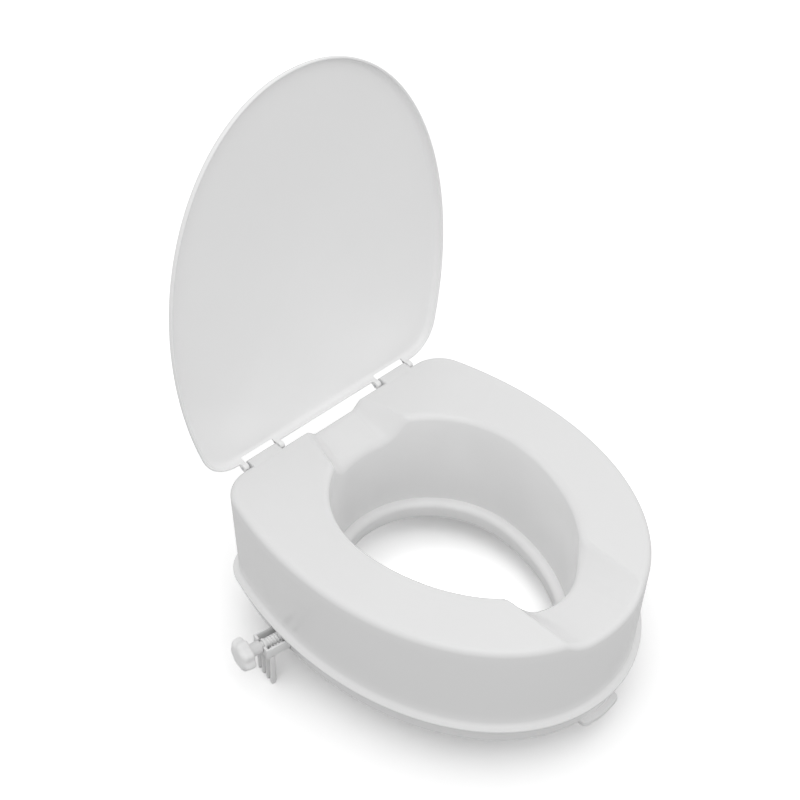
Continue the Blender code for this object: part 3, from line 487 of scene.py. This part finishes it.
def solidified(name, pieces, slot_name, place):
    """An object with modifiers that join closed meshes into one moulding, and the shapes they use."""
    base = new_object(name, pieces[0], slot_name)
    base.location = place
    helpers = []
    for k, bm in enumerate(pieces[1:]):
        helper = new_object(f"{name}_piece_{k}", bm, slot_name)
        helper.location = place
        modifier = base.modifiers.new(helper.name, 'BOOLEAN')
        modifier.operation = 'UNION'
        modifier.solver = 'EXACT'
        modifier.object = helper
        helpers.append(helper)
    return base, helpers


def apply_modifiers(obj, helpers=(), smooth_deg=35.0):
    """Bakes an object's modifiers into its mesh and removes the shapes they used."""
    bpy.context.view_layer.update()
    shaped = obj.evaluated_get(bpy.context.evaluated_depsgraph_get())
    mesh = bpy.data.meshes.new_from_object(shaped)
    obj.modifiers.clear()
    obj.data = mesh
    mesh.shade_smooth()
    mesh.set_sharp_from_angle(angle=math.radians(smooth_deg))
    for helper in helpers:
        bpy.data.objects.remove(helper, do_unlink=True)


def add_bevel(obj, width, segments=3, angle_deg=40.0):
    """A rounding modifier for an object's sharp edges."""
    bevel = obj.modifiers.new("round_edges", 'BEVEL')
    bevel.width = width
    bevel.segments = segments
    bevel.limit_method = 'ANGLE'
    bevel.angle_limit = math.radians(angle_deg)
    bevel.use_clamp_overlap = True
    return bevel


# ---- seat moulding -----------------------------------------------------------------------------
def seat_ring(points, other, share, drop):
    """One ring of the seat: between two outlines, below the top by drop, following the recesses."""
    ring = []
    for a, b in zip(points, other):
        place = a.lerp(b, share)
        ring.append(Vector((place.x, place.y, TOP_Z - drop - recess_depth(place.x, place.y))))
    return ring


def flange_rings():
    """The flange round the seat's foot: a rounded lip and a hollow curve up into the wall."""
    shelf_z = FLANGE_Z + FLANGE_H - FLANGE_LIP_R
    rings = []
    for inset, drop in reversed(quarter(FLANGE_LIP_R, 3)):
        rings.append(flat_ring(grown(OUTER, FLANGE_OUT - inset), FLANGE_Z + drop))
    for inset, drop in quarter(FLANGE_LIP_R, 3):
        rings.append(flat_ring(grown(OUTER, FLANGE_OUT - inset), shelf_z - drop))
    cove = FLANGE_OUT - FLANGE_LIP_R + WALL_DRAFT
    for k in range(1, COVE_STEPS + 1):
        angle = math.pi / 2 * k / COVE_STEPS
        out = cove * (1 - math.sin(angle)) - WALL_DRAFT
        rings.append(flat_ring(grown(OUTER, out), shelf_z + cove * (1 - math.cos(angle))))
    return rings


def seat_rings():
    """Every ring round the section of the seat moulding, up its outer skin and down its inner one."""
    rings = flange_rings()
    for share in (0.12, 0.3, 0.5, 0.7, 0.88):
        low = FLANGE_Z + FLANGE_H + COVE_MARGIN
        ring = []
        for p in grown(OUTER, -WALL_DRAFT * (1 - share)):
            high = TOP_Z - EDGE_R - recess_depth(p.x, p.y)
            ring.append(Vector((p.x, p.y, low + (high - low) * share)))
        rings.append(ring)
    for inset, drop in quarter(EDGE_R):
        edge = grown(OUTER, -inset)
        rings.append(seat_ring(edge, edge, 0.0, drop))
    inner_edge = grown(BORE, BORE_EDGE_R)
    outer_edge = grown(OUTER, -EDGE_R)
    for k in range(1, TOP_SPANS):
        rings.append(seat_ring(outer_edge, inner_edge, k / TOP_SPANS, 0.0))
    for inset, drop in reversed(quarter(BORE_EDGE_R)):
        edge = grown(BORE, inset)
        rings.append(seat_ring(edge, edge, 0.0, drop))
    for share in (0.2, 0.5, 0.8):
        ring = []
        for p in BORE:
            high = TOP_Z - BORE_EDGE_R - recess_depth(p.x, p.y)
            low = SHOULDER_Z + BORE_FOOT
            ring.append(Vector((p.x, p.y, high + (low - high) * share)))
        rings.append(ring)
    rings.append(flat_ring(BORE, SHOULDER_Z + SEAM))
    rings.append(flat_ring(grown(BORE, WALL), SHOULDER_Z + SEAM))
    inside = grown(BORE, WALL)
    rings.append(seat_ring(inside, inside, 0.0, WALL + SKIN_DROP))
    bore_side = grown(BORE, BORE_EDGE_R + SKIN_STEP)
    rim_side = grown(OUTER, -EDGE_R - SKIN_STEP)
    for k in range(UNDER_SPANS + 1):
        rings.append(seat_ring(bore_side, rim_side, k / UNDER_SPANS, WALL))
    outside = grown(OUTER, -WALL)
    rings.append(seat_ring(outside, outside, 0.0, WALL + SKIN_DROP))
    rings.append(flat_ring(grown(OUTER, -WALL - WALL_DRAFT), FLANGE_Z))
    return rings


def knuckle_profile():
    """Side view of a hinge knuckle, from its round nose back into the seat's rear wall."""
    profile = arc(HINGE_Y, HINGE_Z, KNUCKLE_R, -60, 90, 16)
    root_y = REAR_Y - EDGE_R - KNUCKLE_ROOT
    profile += [(root_y, TOP_Z - KNUCKLE_SINK), (root_y, HINGE_Z - KNUCKLE_HIP),
                (REAR_Y - KNUCKLE_WALL, HINGE_Z - KNUCKLE_DROP)]
    return profile


def make_seat():
    """The seat moulding and its two hinge knuckles."""
    bm = bmesh.new()
    add_rings(bm, seat_rings())
    seat = new_object("seat_moulding", bm, "seat_plastic", 50.0)
    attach(seat, "seat")
    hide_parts("seat_shell")
    for side, label in ((-1, "left"), (1, "right")):
        x0 = side * (ARM_X[0] + ARM_W / 2 + KNUCKLE_END_GAP)
        x1 = side * (ARM_X[1] - ARM_W / 2 - KNUCKLE_END_GAP)
        bm = bmesh.new()
        add_extruded(bm, knuckle_profile(), x0, x1)
        knuckle = new_object(f"hinge_knuckle_{label}", bm, "seat_plastic")
        add_bevel(knuckle, KNUCKLE_BEVEL)
        apply_modifiers(knuckle)
        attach(knuckle, "seat")
    return seat


# ---- base tray ---------------------------------------------------------------------------------
def tray_rings():
    """Every ring round the section of the tray: spigot, rounded ledge, floor and skirt."""
    spigot_in = grown(BORE, -SPIGOT_IN)
    spigot_out = grown(BORE, -SPIGOT_IN + PLATE)
    rings = []
    for inset, drop in reversed(quarter(SPIGOT_LIP_R, 3)):
        rings.append(flat_ring(grown(BORE, -SPIGOT_IN + inset), SPIGOT_Z + drop))
    rings.append(flat_ring(spigot_in, (SPIGOT_Z + SHOULDER_Z - LEDGE_R) / 2))
    for k in range(LEDGE_STEPS + 1):
        angle = math.pi / 2 * k / LEDGE_STEPS
        edge = grown(BORE, -SPIGOT_IN * math.cos(angle))
        rings.append(flat_ring(edge, SHOULDER_Z - LEDGE_R * (1 - math.sin(angle))))
    rings.append(flat_ring(grown(BORE, WALL), SHOULDER_Z))
    rings.append(flat_ring(grown(BORE, WALL), SHOULDER_Z - PLATE))
    rings.append(flat_ring(grown(BORE, -LEDGE_UNDER[0]), SHOULDER_Z - PLATE - LEDGE_UNDER[1]))
    rings.append(flat_ring(spigot_out, SHOULDER_Z - LEDGE_R))
    rings.append(flat_ring(spigot_out, BASE_Z + PLATE))
    rings.append(flat_ring(grown(OUTER, -SKIRT_IN - PLATE), BASE_Z + PLATE))
    rings.append(flat_ring(grown(OUTER, -SKIRT_IN - PLATE), SKIRT_TOP))
    rings.append(flat_ring(grown(OUTER, -SKIRT_IN), SKIRT_TOP))
    for inset, drop in quarter(TRAY_FOOT_R, 5):
        rings.append(flat_ring(grown(OUTER, -SKIRT_IN - inset), BASE_Z + drop))
    rings.append(flat_ring(spigot_out, BASE_Z))
    rings.append(flat_ring(spigot_out, SPIGOT_Z + SPIGOT_STEP))
    return rings


def lug_outline(inset):
    """The front lip's plan outline, from its left root round its front to its right root."""
    front = OUT_WIDEST_Y - OUT_FRONT_LEN - LUG_OUT + inset
    side = LUG_HALF_W - inset
    corner_x = side - LUG_CORNER_R
    corner_y = front + LUG_SHAPE * corner_x ** 2 + LUG_CORNER_R
    right = [(corner_x * k / 10, front + LUG_SHAPE * (corner_x * k / 10) ** 2) for k in range(10)]
    right += [(corner_x + y, corner_y + z) for y, z in arc(0.0, 0.0, LUG_CORNER_R, -90, 0, 8)]
    right.append((side, front + LUG_OUT + SKIRT_IN + LUG_ROOT))
    return [(-x, y) for x, y in reversed(right[1:])] + right


def make_tray():
    """The base tray with its front lip, cut open for the two clamps."""
    bm = bmesh.new()
    add_rings(bm, tray_rings())
    tray = new_object("tray_moulding", bm, "base_plastic", 50.0)
    helpers = []
    for side in (-1, 1):
        bm = bmesh.new()
        half = CLAMP_W / 2 + NOTCH_GAP
        add_box(bm, (NOTCH_X[0], CLAMP_Y - half, BASE_Z + PLATE + SEAM),
                (NOTCH_X[1], CLAMP_Y + half, SKIRT_TOP + PLATE))
        helper = new_object(f"clamp_opening_{side}", turned_clamp(bm, side), "base_plastic")
        modifier = tray.modifiers.new(helper.name, 'BOOLEAN')
        modifier.operation = 'DIFFERENCE'
        modifier.object = helper
        helpers.append(helper)
    apply_modifiers(tray, helpers, 50.0)
    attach(tray, "seat")
    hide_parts("base_tray")
    bm = bmesh.new()
    rows = []
    for inset, drop in reversed(quarter(LUG_FOOT_R, 5)):
        rows.append([bm.verts.new((x, y, LUG_Z[0] + drop)) for x, y in lug_outline(inset)])
    rows.append([bm.verts.new((x, y, LUG_Z[1])) for x, y in lug_outline(0.0)])
    join_rows(bm, rows)
    bm.faces.new(rows[0])
    bm.faces.new(rows[-1])
    lug = new_object("front_lip", bm, "base_plastic")
    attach(lug, "seat")
    return tray


# ---- lid ---------------------------------------------------------------------------------------
def lid_outline():
    """The outline of the closed lid's rim, with y measured from the hinge axis."""
    rim = grown(OUTER, LID_OVERHANG)
    front, rear = min(p.y for p in rim), max(p.y for p in rim)
    stretch = (LID_FRONT - LID_REAR) / (rear - front)
    return [Vector((p.x, -LID_REAR + (p.y - rear) * stretch)) for p in rim]


def lid_rings(inset, radius, z):
    """Rings of one skin of the lid from its rim inwards: a rounded edge and a crowned panel."""
    rim = lid_outline()
    rings = []
    for k in range(LID_EDGE_STEPS + 1):
        angle = math.pi / 2 * k / LID_EDGE_STEPS
        edge = grown(rim, -inset - radius * (1 - math.cos(angle)))
        rings.append(flat_ring(edge, z + radius * math.sin(angle)))
    middle = Vector((0.0, -(LID_FRONT + LID_REAR) / 2))
    for k in range(1, LID_SPANS):
        share = 1 - k / LID_SPANS
        height = z + radius + LID_CROWN * (1 - share ** 2) ** LID_CROWN_POWER
        rings.append([Vector((*middle.lerp(p.xy, share), height)) for p in rings[LID_EDGE_STEPS]])
    return rings, Vector((*middle, z + radius + LID_CROWN))


def lid_shell():
    """The lid's dish, closed, about the hinge axis."""
    bm = bmesh.new()
    skins = []
    for inset in (0.0, LID_T):
        rings, top = lid_rings(inset, LID_EDGE_R - inset, LID_RIM_Z)
        rows = [[bm.verts.new(p) for p in ring] for ring in rings]
        crown = bm.verts.new(top)
        join_rows(bm, rows)
        last = rows[-1]
        for k in range(len(last)):
            bm.faces.new((last[k], last[(k + 1) % len(last)], crown))
        skins.append(rows)
    rim_rows = [skins[0][0]]
    rim = lid_outline()
    for k in range(1, 4):
        angle = math.pi * k / 4
        edge = grown(rim, -LID_T / 2 * (1 - math.cos(angle)))
        rim_rows.append([bm.verts.new(p) for p in flat_ring(edge, LID_RIM_Z - RIM_ROUND * math.sin(angle))])
    rim_rows.append(skins[1][0])
    join_rows(bm, rim_rows)
    return bm


def arm_profile():
    """Side view of one hinge arm about the hinge axis: a round eye and a neck into the lid's edge."""
    eye = arc(0.0, 0.0, ARM_R, -190, 20, 20)
    neck = [(-LID_REAR + NECK_Y[0], LID_RIM_Z + NECK_TOP), (-LID_REAR + NECK_Y[1], LID_RIM_Z + NECK_TOP),
            (-LID_REAR + NECK_Y[2], LID_RIM_Z + NECK_FOOT)]
    return eye + neck


def make_lid():
    """The lid with its four hinge arms, turned open."""
    open_turn = Matrix.Rotation(math.radians(-LID_OPEN_DEG), 4, 'X')
    place = Matrix.Translation(ORIGIN + Vector((0.0, HINGE_Y, HINGE_Z))) @ open_turn
    lid = new_object("lid_moulding", lid_shell(), "seat_plastic", 50.0)
    # the lid shell gets the painted-lighter copy of the seat's plastic, as painted light
    lid.data.materials[0] = LID_WHITE_PAINTED_LIGHTER
    lid.matrix_world = place
    helpers = []
    for side in (-1, 1):
        inner = side * (ARM_X[0] + ARM_W / 2)
        outer = side * (ARM_X[1] - ARM_W / 2)
        bm = bmesh.new()
        add_box(bm, (min(inner, outer), -LID_REAR - KNUCKLE_NOTCH, LID_RIM_Z - NOTCH_MARGIN[0]),
                (max(inner, outer), NOTCH_MARGIN[0], LID_RIM_Z + LID_EDGE_R + NOTCH_MARGIN[1]))
        helper = new_object(f"knuckle_notch_{side}", bm, "seat_plastic")
        helper.matrix_world = place
        modifier = lid.modifiers.new(helper.name, 'BOOLEAN')
        modifier.operation = 'DIFFERENCE'
        modifier.object = helper
        helpers.append(helper)
    apply_modifiers(lid, helpers, 50.0)
    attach(lid, "lid")
    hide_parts("lid")
    for side, label in ((-1, "left"), (1, "right")):
        for x, where in zip(ARM_X, ("inner", "outer")):
            bm = bmesh.new()
            add_extruded(bm, arm_profile(), side * x - ARM_W / 2, side * x + ARM_W / 2)
            arm = new_object(f"hinge_arm_{label}_{where}", bm, "seat_plastic")
            arm.matrix_world = place
            # the arms get the same painted-lighter copy of the seat's plastic, as painted light
            arm.data.materials[0] = LID_WHITE_PAINTED_LIGHTER
            add_bevel(arm, ARM_BEVEL)
            apply_modifiers(arm)
            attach(arm, "lid")
    return lid


# ---- side clamps -------------------------------------------------------------------------------
def clamp_turn(side):
    """The turn of one clamp's pieces about the vertical through its end plate."""
    pivot = Matrix.Translation((-side * CLAMP_X, CLAMP_Y, 0.0))
    return pivot @ Matrix.Rotation(side * math.radians(CLAMP_TURN_DEG), 4, 'Z') @ pivot.inverted()


def turned_clamp(bm, side):
    """Mirrors a left-hand shape for the right-hand clamp, and turns it with its clamp."""
    flip = Matrix.Diagonal((-side, 1.0, 1.0, 1.0))
    bmesh.ops.transform(bm, matrix=clamp_turn(side) @ flip, verts=bm.verts)
    return bm


def fin_profile():
    """Side view of one fin of the leg as (x, z) points, with a round foot."""
    top = SHELF_Z + SHELF_T - 0.4 * STAGGER
    x0, x1 = LEG_X[0], LEG_X[1] - STAGGER
    radius = (x1 - x0) / 2
    return [(x0, top)] + arc(x0 + radius, LEG_Z + radius, radius, 180, 360, 16) + [(x1, top)]


def bracket_pieces():
    """The solids that make up one bracket (left side); the first is its shelf."""
    y0, y1 = CLAMP_Y - CLAMP_W / 2, CLAMP_Y + CLAMP_W / 2
    leg_foot = LEG_Z + (LEG_X[1] - LEG_X[0]) / 2
    blocks = [((CLAMP_X + STAGGER, y0 + STAGGER / 5, SHELF_Z),
               (LEG_X[1] + STAGGER / 2, y1 - STAGGER / 5, SHELF_Z + SHELF_T))]
    for a, b in ((y0, y0 + BRACKET_T), (y1 - BRACKET_T, y1)):
        blocks.append(((CLAMP_X + STAGGER, a, ARM_Z), (ARM_END_X, b, ARM_TOP)))
    blocks.append(((CLAMP_X, y0 + STAGGER / 10, SHELF_Z + STAGGER / 2),
                   (CLAMP_X + END_T, y1 - STAGGER / 10, ARM_TOP - STAGGER / 2)))
    blocks.append(((LEG_X[1] - LEG_T, y0 + STAGGER * 0.3, leg_foot),
                   (LEG_X[1], y1 - STAGGER * 0.3, SHELF_Z + STAGGER)))
    pieces = []
    for low, high in blocks:
        bm = bmesh.new()
        add_box(bm, low, high)
        pieces.append(bm)
    for k in range(FINS):
        y = y0 + FIN_T / 2 + (CLAMP_W - FIN_T) * k / (FINS - 1)
        bm = bmesh.new()
        rows = [[bm.verts.new((x, v, z)) for x, z in fin_profile()] for v in (y - FIN_T / 2, y + FIN_T / 2)]
        join_rows(bm, rows)
        bm.faces.new(rows[0])
        bm.faces.new(rows[1])
        pieces.append(bm)
    return pieces


def make_bracket(side, label):
    """A bracket: two arms, an end plate with a notch for the screw, and a ribbed leg under a shelf."""
    pieces = [turned_clamp(bm, side) for bm in bracket_pieces()]
    bracket, helpers = solidified(f"bracket_moulding_{label}", pieces, "clamp_plastic", ORIGIN)
    slot = arc(CLAMP_Y, SCREW_Z, SCREW_HOLE_R, 180, 360, 24)
    slot += [(CLAMP_Y + SCREW_HOLE_R, ARM_TOP), (CLAMP_Y - SCREW_HOLE_R, ARM_TOP)]
    bm = bmesh.new()
    add_extruded(bm, slot, CLAMP_X - END_T, CLAMP_X + 2 * END_T)
    notch = new_object(f"bracket_notch_{label}", turned_clamp(bm, side), "clamp_plastic")
    modifier = bracket.modifiers.new("notch", 'BOOLEAN')
    modifier.operation = 'DIFFERENCE'
    modifier.object = notch
    add_bevel(bracket, BRACKET_BEVEL)
    apply_modifiers(bracket, helpers + [notch])
    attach(bracket, f"bracket_{label}")
    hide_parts(f"clamp_bracket_{label}")


def thread_rows(start_x, end_x, segments):
    """Rows of (x, radius) pairs along a one-start thread."""
    rows = []
    count = int(round((end_x - start_x) / (PITCH / 12)))
    for i in range(count + 1):
        x = start_x + (end_x - start_x) * i / count
        fade = min(1.0, (x - start_x) / PITCH, (end_x - x) / PITCH)
        row = []
        for k in range(segments):
            phase = ((x - start_x) / PITCH - k / segments) % 1.0
            crest = smooth_step(2.2 * (1 - abs(2 * phase - 1)) - 0.6)
            row.append((x, SCREW_ROOT_R + (SCREW_R - SCREW_ROOT_R) * crest * fade))
        rows.append(row)
    return rows


def knob_rows(segments):
    """Rows of (x, radius) pairs over the lobed knob, from the middle of its face to its hub."""
    low, high = KNOB_X

    def lobed(x, scale):
        fade = smooth_step((scale - KNOB_FACE) / (1 - KNOB_FACE))
        row = []
        for k in range(segments):
            valley = 0.5 - 0.5 * math.cos(KNOB_LOBES * (2 * math.pi * k / segments - math.pi / 2))
            row.append((x, KNOB_R * scale * (1 - KNOB_LOBE_DEPTH * valley * fade)))
        return row

    rows = [lobed(low, KNOB_FACE * share) for share in (0.3, 0.7, 1.0)]
    steps = 12
    for k in range(1, steps + 1):
        angle = math.pi / 2 * k / steps
        rows.append(lobed(low + KNOB_ROUND * (1 - math.cos(angle)),
                          KNOB_FACE + (1 - KNOB_FACE) * math.sin(angle)))
    for inset, drop in quarter(KNOB_BACK_R, 6):
        rows.append(lobed(high - drop, 1 - inset / KNOB_R))
    return rows


def make_thumbscrew(side, label):
    """A thumbscrew: lobed knob, hub and coarse thread in one moulding."""
    segments, foot, plate_x = SCREW_SEGMENTS, HUB_FOOT_R, CLAMP_X - GAP
    rows = knob_rows(segments)
    for x, radius in ((KNOB_X[1] + foot, HUB_R + foot), (KNOB_X[1] + 2 * foot, HUB_R),
                      (plate_x - foot, HUB_R), (plate_x, HUB_R - foot), (plate_x, SCREW_ROOT_R)):
        rows.append([(x, radius)] * segments)
    rows += thread_rows(CLAMP_X + END_T + 2 * GAP + THREAD_LEAD, SCREW_END_X - SCREW_TIP, segments)
    rows.append([(SCREW_END_X, SCREW_ROOT_R * 0.8)] * segments)
    bm = bmesh.new()
    made = []
    for row in rows:
        ring = []
        for k, (x, radius) in enumerate(row):
            angle = 2 * math.pi * k / segments
            ring.append(bm.verts.new((x, CLAMP_Y + radius * math.cos(angle),
                                      SCREW_Z + radius * math.sin(angle))))
        made.append(ring)
    join_rows(bm, made)
    bm.faces.new(made[0])
    bm.faces.new(made[-1])
    turn = clamp_turn(side)
    if side > 0:
        turn = turn @ Matrix.Translation((0.0, 2 * CLAMP_Y, 0.0)) @ Matrix.Rotation(math.pi, 4, 'Z')
    bmesh.ops.transform(bm, matrix=turn, verts=bm.verts)
    screw = new_object(f"thumbscrew_moulding_{label}", bm, "clamp_plastic", 50.0)
    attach(screw, f"screw_{label}")
    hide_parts(f"thumbscrew_{label}")


# ---- stage: floor, light and camera ------------------------------------------------------------
def make_floor():
    """A white floor that throws back less light than it shows, like a lit studio sweep, with a painted pool
    of light where it is seen through the seat's opening, in place of the seat's shade.
    """
    floor_z = cad_bounds[0][2] - 0.0005
    bm = bmesh.new()
    bmesh.ops.create_grid(bm, x_segments=4, y_segments=4, size=FLOOR_SIZE)
    mesh = bpy.data.meshes.new("floor")
    bm.to_mesh(mesh)
    bm.free()
    made = bpy.data.materials.new("floor_white_painted_pool")
    made.use_nodes = True
    tree = made.node_tree
    tree.nodes.clear()
    place = node_at(tree, "ShaderNodeNewGeometry", -1300, -200)
    reach = node_at(tree, "ShaderNodeVectorMath", -1100, -200, operation='DISTANCE')
    reach.inputs[1].default_value = (ORIGIN.x, ORIGIN.y, floor_z)
    # Painted light: the floor is shown brighter round the middle of the seat's opening, a painted pool of
    # light where the seat would shade it.
    shown = node_at(tree, "ShaderNodeMapRange", -900, -200, interpolation_type='SMOOTHSTEP')
    shown.inputs["From Min"].default_value = FLOOR_PAINTED_POOL_REACH[0]
    shown.inputs["From Max"].default_value = FLOOR_PAINTED_POOL_REACH[1]
    shown.inputs["To Min"].default_value = FLOOR_PAINTED_POOL
    shown.inputs["To Max"].default_value = FLOOR_SHOWN
    path = node_at(tree, "ShaderNodeLightPath", -900, 0)
    seen = node_at(tree, "ShaderNodeMix", -750, -200)
    seen.inputs["B"].default_value = FLOOR_MIRRORED
    level = node_at(tree, "ShaderNodeMix", -600, 0)
    level.inputs["B"].default_value = FLOOR_BOUNCE
    grey = node_at(tree, "ShaderNodeCombineColor", -450, 0)
    shader = node_at(tree, "ShaderNodeBsdfDiffuse", -250, 0)
    output = node_at(tree, "ShaderNodeOutputMaterial", 0, 0)
    tree.links.new(place.outputs["Position"], reach.inputs[0])
    tree.links.new(reach.outputs["Value"], shown.inputs["Value"])
    tree.links.new(path.outputs["Is Diffuse Ray"], level.inputs["Factor"])
    tree.links.new(path.outputs["Is Glossy Ray"], seen.inputs["Factor"])
    tree.links.new(shown.outputs["Result"], seen.inputs["A"])
    tree.links.new(seen.outputs["Result"], level.inputs["A"])
    for channel in ("Red", "Green", "Blue"):
        tree.links.new(level.outputs["Result"], grey.inputs[channel])
    tree.links.new(grey.outputs["Color"], shader.inputs["Color"])
    tree.links.new(shader.outputs["BSDF"], output.inputs["Surface"])
    mesh.materials.append(made)
    floor = bpy.data.objects.new("floor", mesh)
    floor.location = (0.0, 0.0, floor_z)
    bpy.context.scene.collection.objects.link(floor)


def make_world():
    """A soft studio sky: brighter overhead than at the horizon."""
    world = bpy.data.worlds.new("studio")
    bpy.context.scene.world = world
    world.use_nodes = True
    tree = world.node_tree
    tree.nodes.clear()
    coords = node_at(tree, "ShaderNodeTexCoord", -800, 0)
    split = node_at(tree, "ShaderNodeSeparateXYZ", -600, 0)
    span = node_at(tree, "ShaderNodeMapRange", -400, 0)
    span.inputs["To Min"].default_value = SKY_HORIZON
    span.inputs["To Max"].default_value = SKY_ZENITH
    background = node_at(tree, "ShaderNodeBackground", -150, 0)
    output = node_at(tree, "ShaderNodeOutputWorld", 50, 0)
    tree.links.new(coords.outputs["Generated"], split.inputs["Vector"])
    tree.links.new(split.outputs["Z"], span.inputs["Value"])
    tree.links.new(span.outputs["Result"], background.inputs["Strength"])
    tree.links.new(background.outputs["Background"], output.inputs["Surface"])


def add_area_light(name, place, target, size, power):
    """A square soft light that points at a place."""
    data = bpy.data.lights.new(name, 'AREA')
    data.size = size
    data.energy = power
    light = bpy.data.objects.new(name, data)
    light.location = place
    light.rotation_euler = (Vector(target) - Vector(place)).to_track_quat('-Z', 'Y').to_euler()
    bpy.context.scene.collection.objects.link(light)
    return light


FLOOR_SIZE = 12.0
FLOOR_BOUNCE = 0.44
FLOOR_MIRRORED = 0.75   # as glossy surfaces see it
FLOOR_SHOWN = 1.30
FLOOR_PAINTED_POOL = 1.5     # painted light: how bright the floor is shown through the seat's opening, a painted pool of light in place of the seat's shade
# distances from the seat's middle over which the painted pool of light on the floor fades out
FLOOR_PAINTED_POOL_REACH = (0.06, 0.13)
SKY_HORIZON = 1.06
SKY_ZENITH = 1.10
KEY_POWER = 6.0
KEY_PLACE = (-0.9, -0.9, 2.2)
KEY_TARGET = (0.0, 0.0, 0.1)
KEY_SIZE = 1.8
OPENING_LIGHT_SIZE = 1.65 * BORE_HALF_W
OPENING_LIGHT_SPREAD_DEG = 80.0
OPENING_LIGHT_POWER = 0.030
OPENING_LIGHT_PLACE = (0.0, 0.005, 0.115)
OPENING_GLOW_POWER = 0.055
OPENING_GLOW_PLACE = (0.0, 0.0, 0.112)
OPENING_GLOW_R = 0.04


def make_lights():
    """A large soft key light from the front left, above, and two small ones in the opening."""
    add_area_light("key", KEY_PLACE, KEY_TARGET, KEY_SIZE, KEY_POWER)
    centre = ORIGIN + Vector(OPENING_LIGHT_PLACE)
    inside = add_area_light("opening_light", centre, centre - Vector((0.0, 0.0, 1.0)), OPENING_LIGHT_SIZE,
                            OPENING_LIGHT_POWER)
    inside.visible_camera = False
    inside.visible_glossy = False
    inside.data.spread = math.radians(OPENING_LIGHT_SPREAD_DEG)
    data = bpy.data.lights.new("opening_glow", 'POINT')
    data.energy = OPENING_GLOW_POWER
    data.shadow_soft_size = OPENING_GLOW_R
    glow = bpy.data.objects.new("opening_glow", data)
    glow.location = ORIGIN + Vector(OPENING_GLOW_PLACE)
    glow.visible_camera = False
    glow.visible_glossy = False
    bpy.context.scene.collection.objects.link(glow)


CAMERA_AZ = -0.7876
CAMERA_EL = 0.7326
CAMERA_ROLL = 0.0217
CAMERA_DISTANCE = 1.9278
CAMERA_LENS = 71.829
CAMERA_TARGET = (0.1621, 0.2535, 0.0245)


def make_camera():
    """The camera: from the front left, looking down, with a slight roll."""
    back = Vector((math.sin(CAMERA_AZ) * math.cos(CAMERA_EL), -math.cos(CAMERA_AZ) * math.cos(CAMERA_EL),
                   math.sin(CAMERA_EL)))
    across = (-back).cross(Vector((0.0, 0.0, 1.0))).normalized()
    up = across.cross(-back)
    cos_r, sin_r = math.cos(CAMERA_ROLL), math.sin(CAMERA_ROLL)
    right = across * cos_r + up * sin_r
    top = up * cos_r - across * sin_r
    place = ORIGIN + Vector(CAMERA_TARGET) + back * CAMERA_DISTANCE
    data = bpy.data.cameras.new("camera")
    data.lens = CAMERA_LENS
    data.sensor_width = 36.0
    camera = bpy.data.objects.new("camera", data)
    camera.matrix_world = Matrix(((right.x, top.x, back.x, place.x), (right.y, top.y, back.y, place.y),
                                  (right.z, top.z, back.z, place.z), (0.0, 0.0, 0.0, 1.0)))
    bpy.context.scene.collection.objects.link(camera)
    bpy.context.scene.camera = camera


# ---- build -------------------------------------------------------------------------------------
make_seat()
make_tray()
make_lid()
for clamp_side, clamp_label in ((-1, "left"), (1, "right")):
    make_bracket(clamp_side, clamp_label)
    make_thumbscrew(clamp_side, clamp_label)
make_floor()
make_world()
make_lights()
make_camera()
bpy.context.scene.view_settings.view_transform = 'Standard'
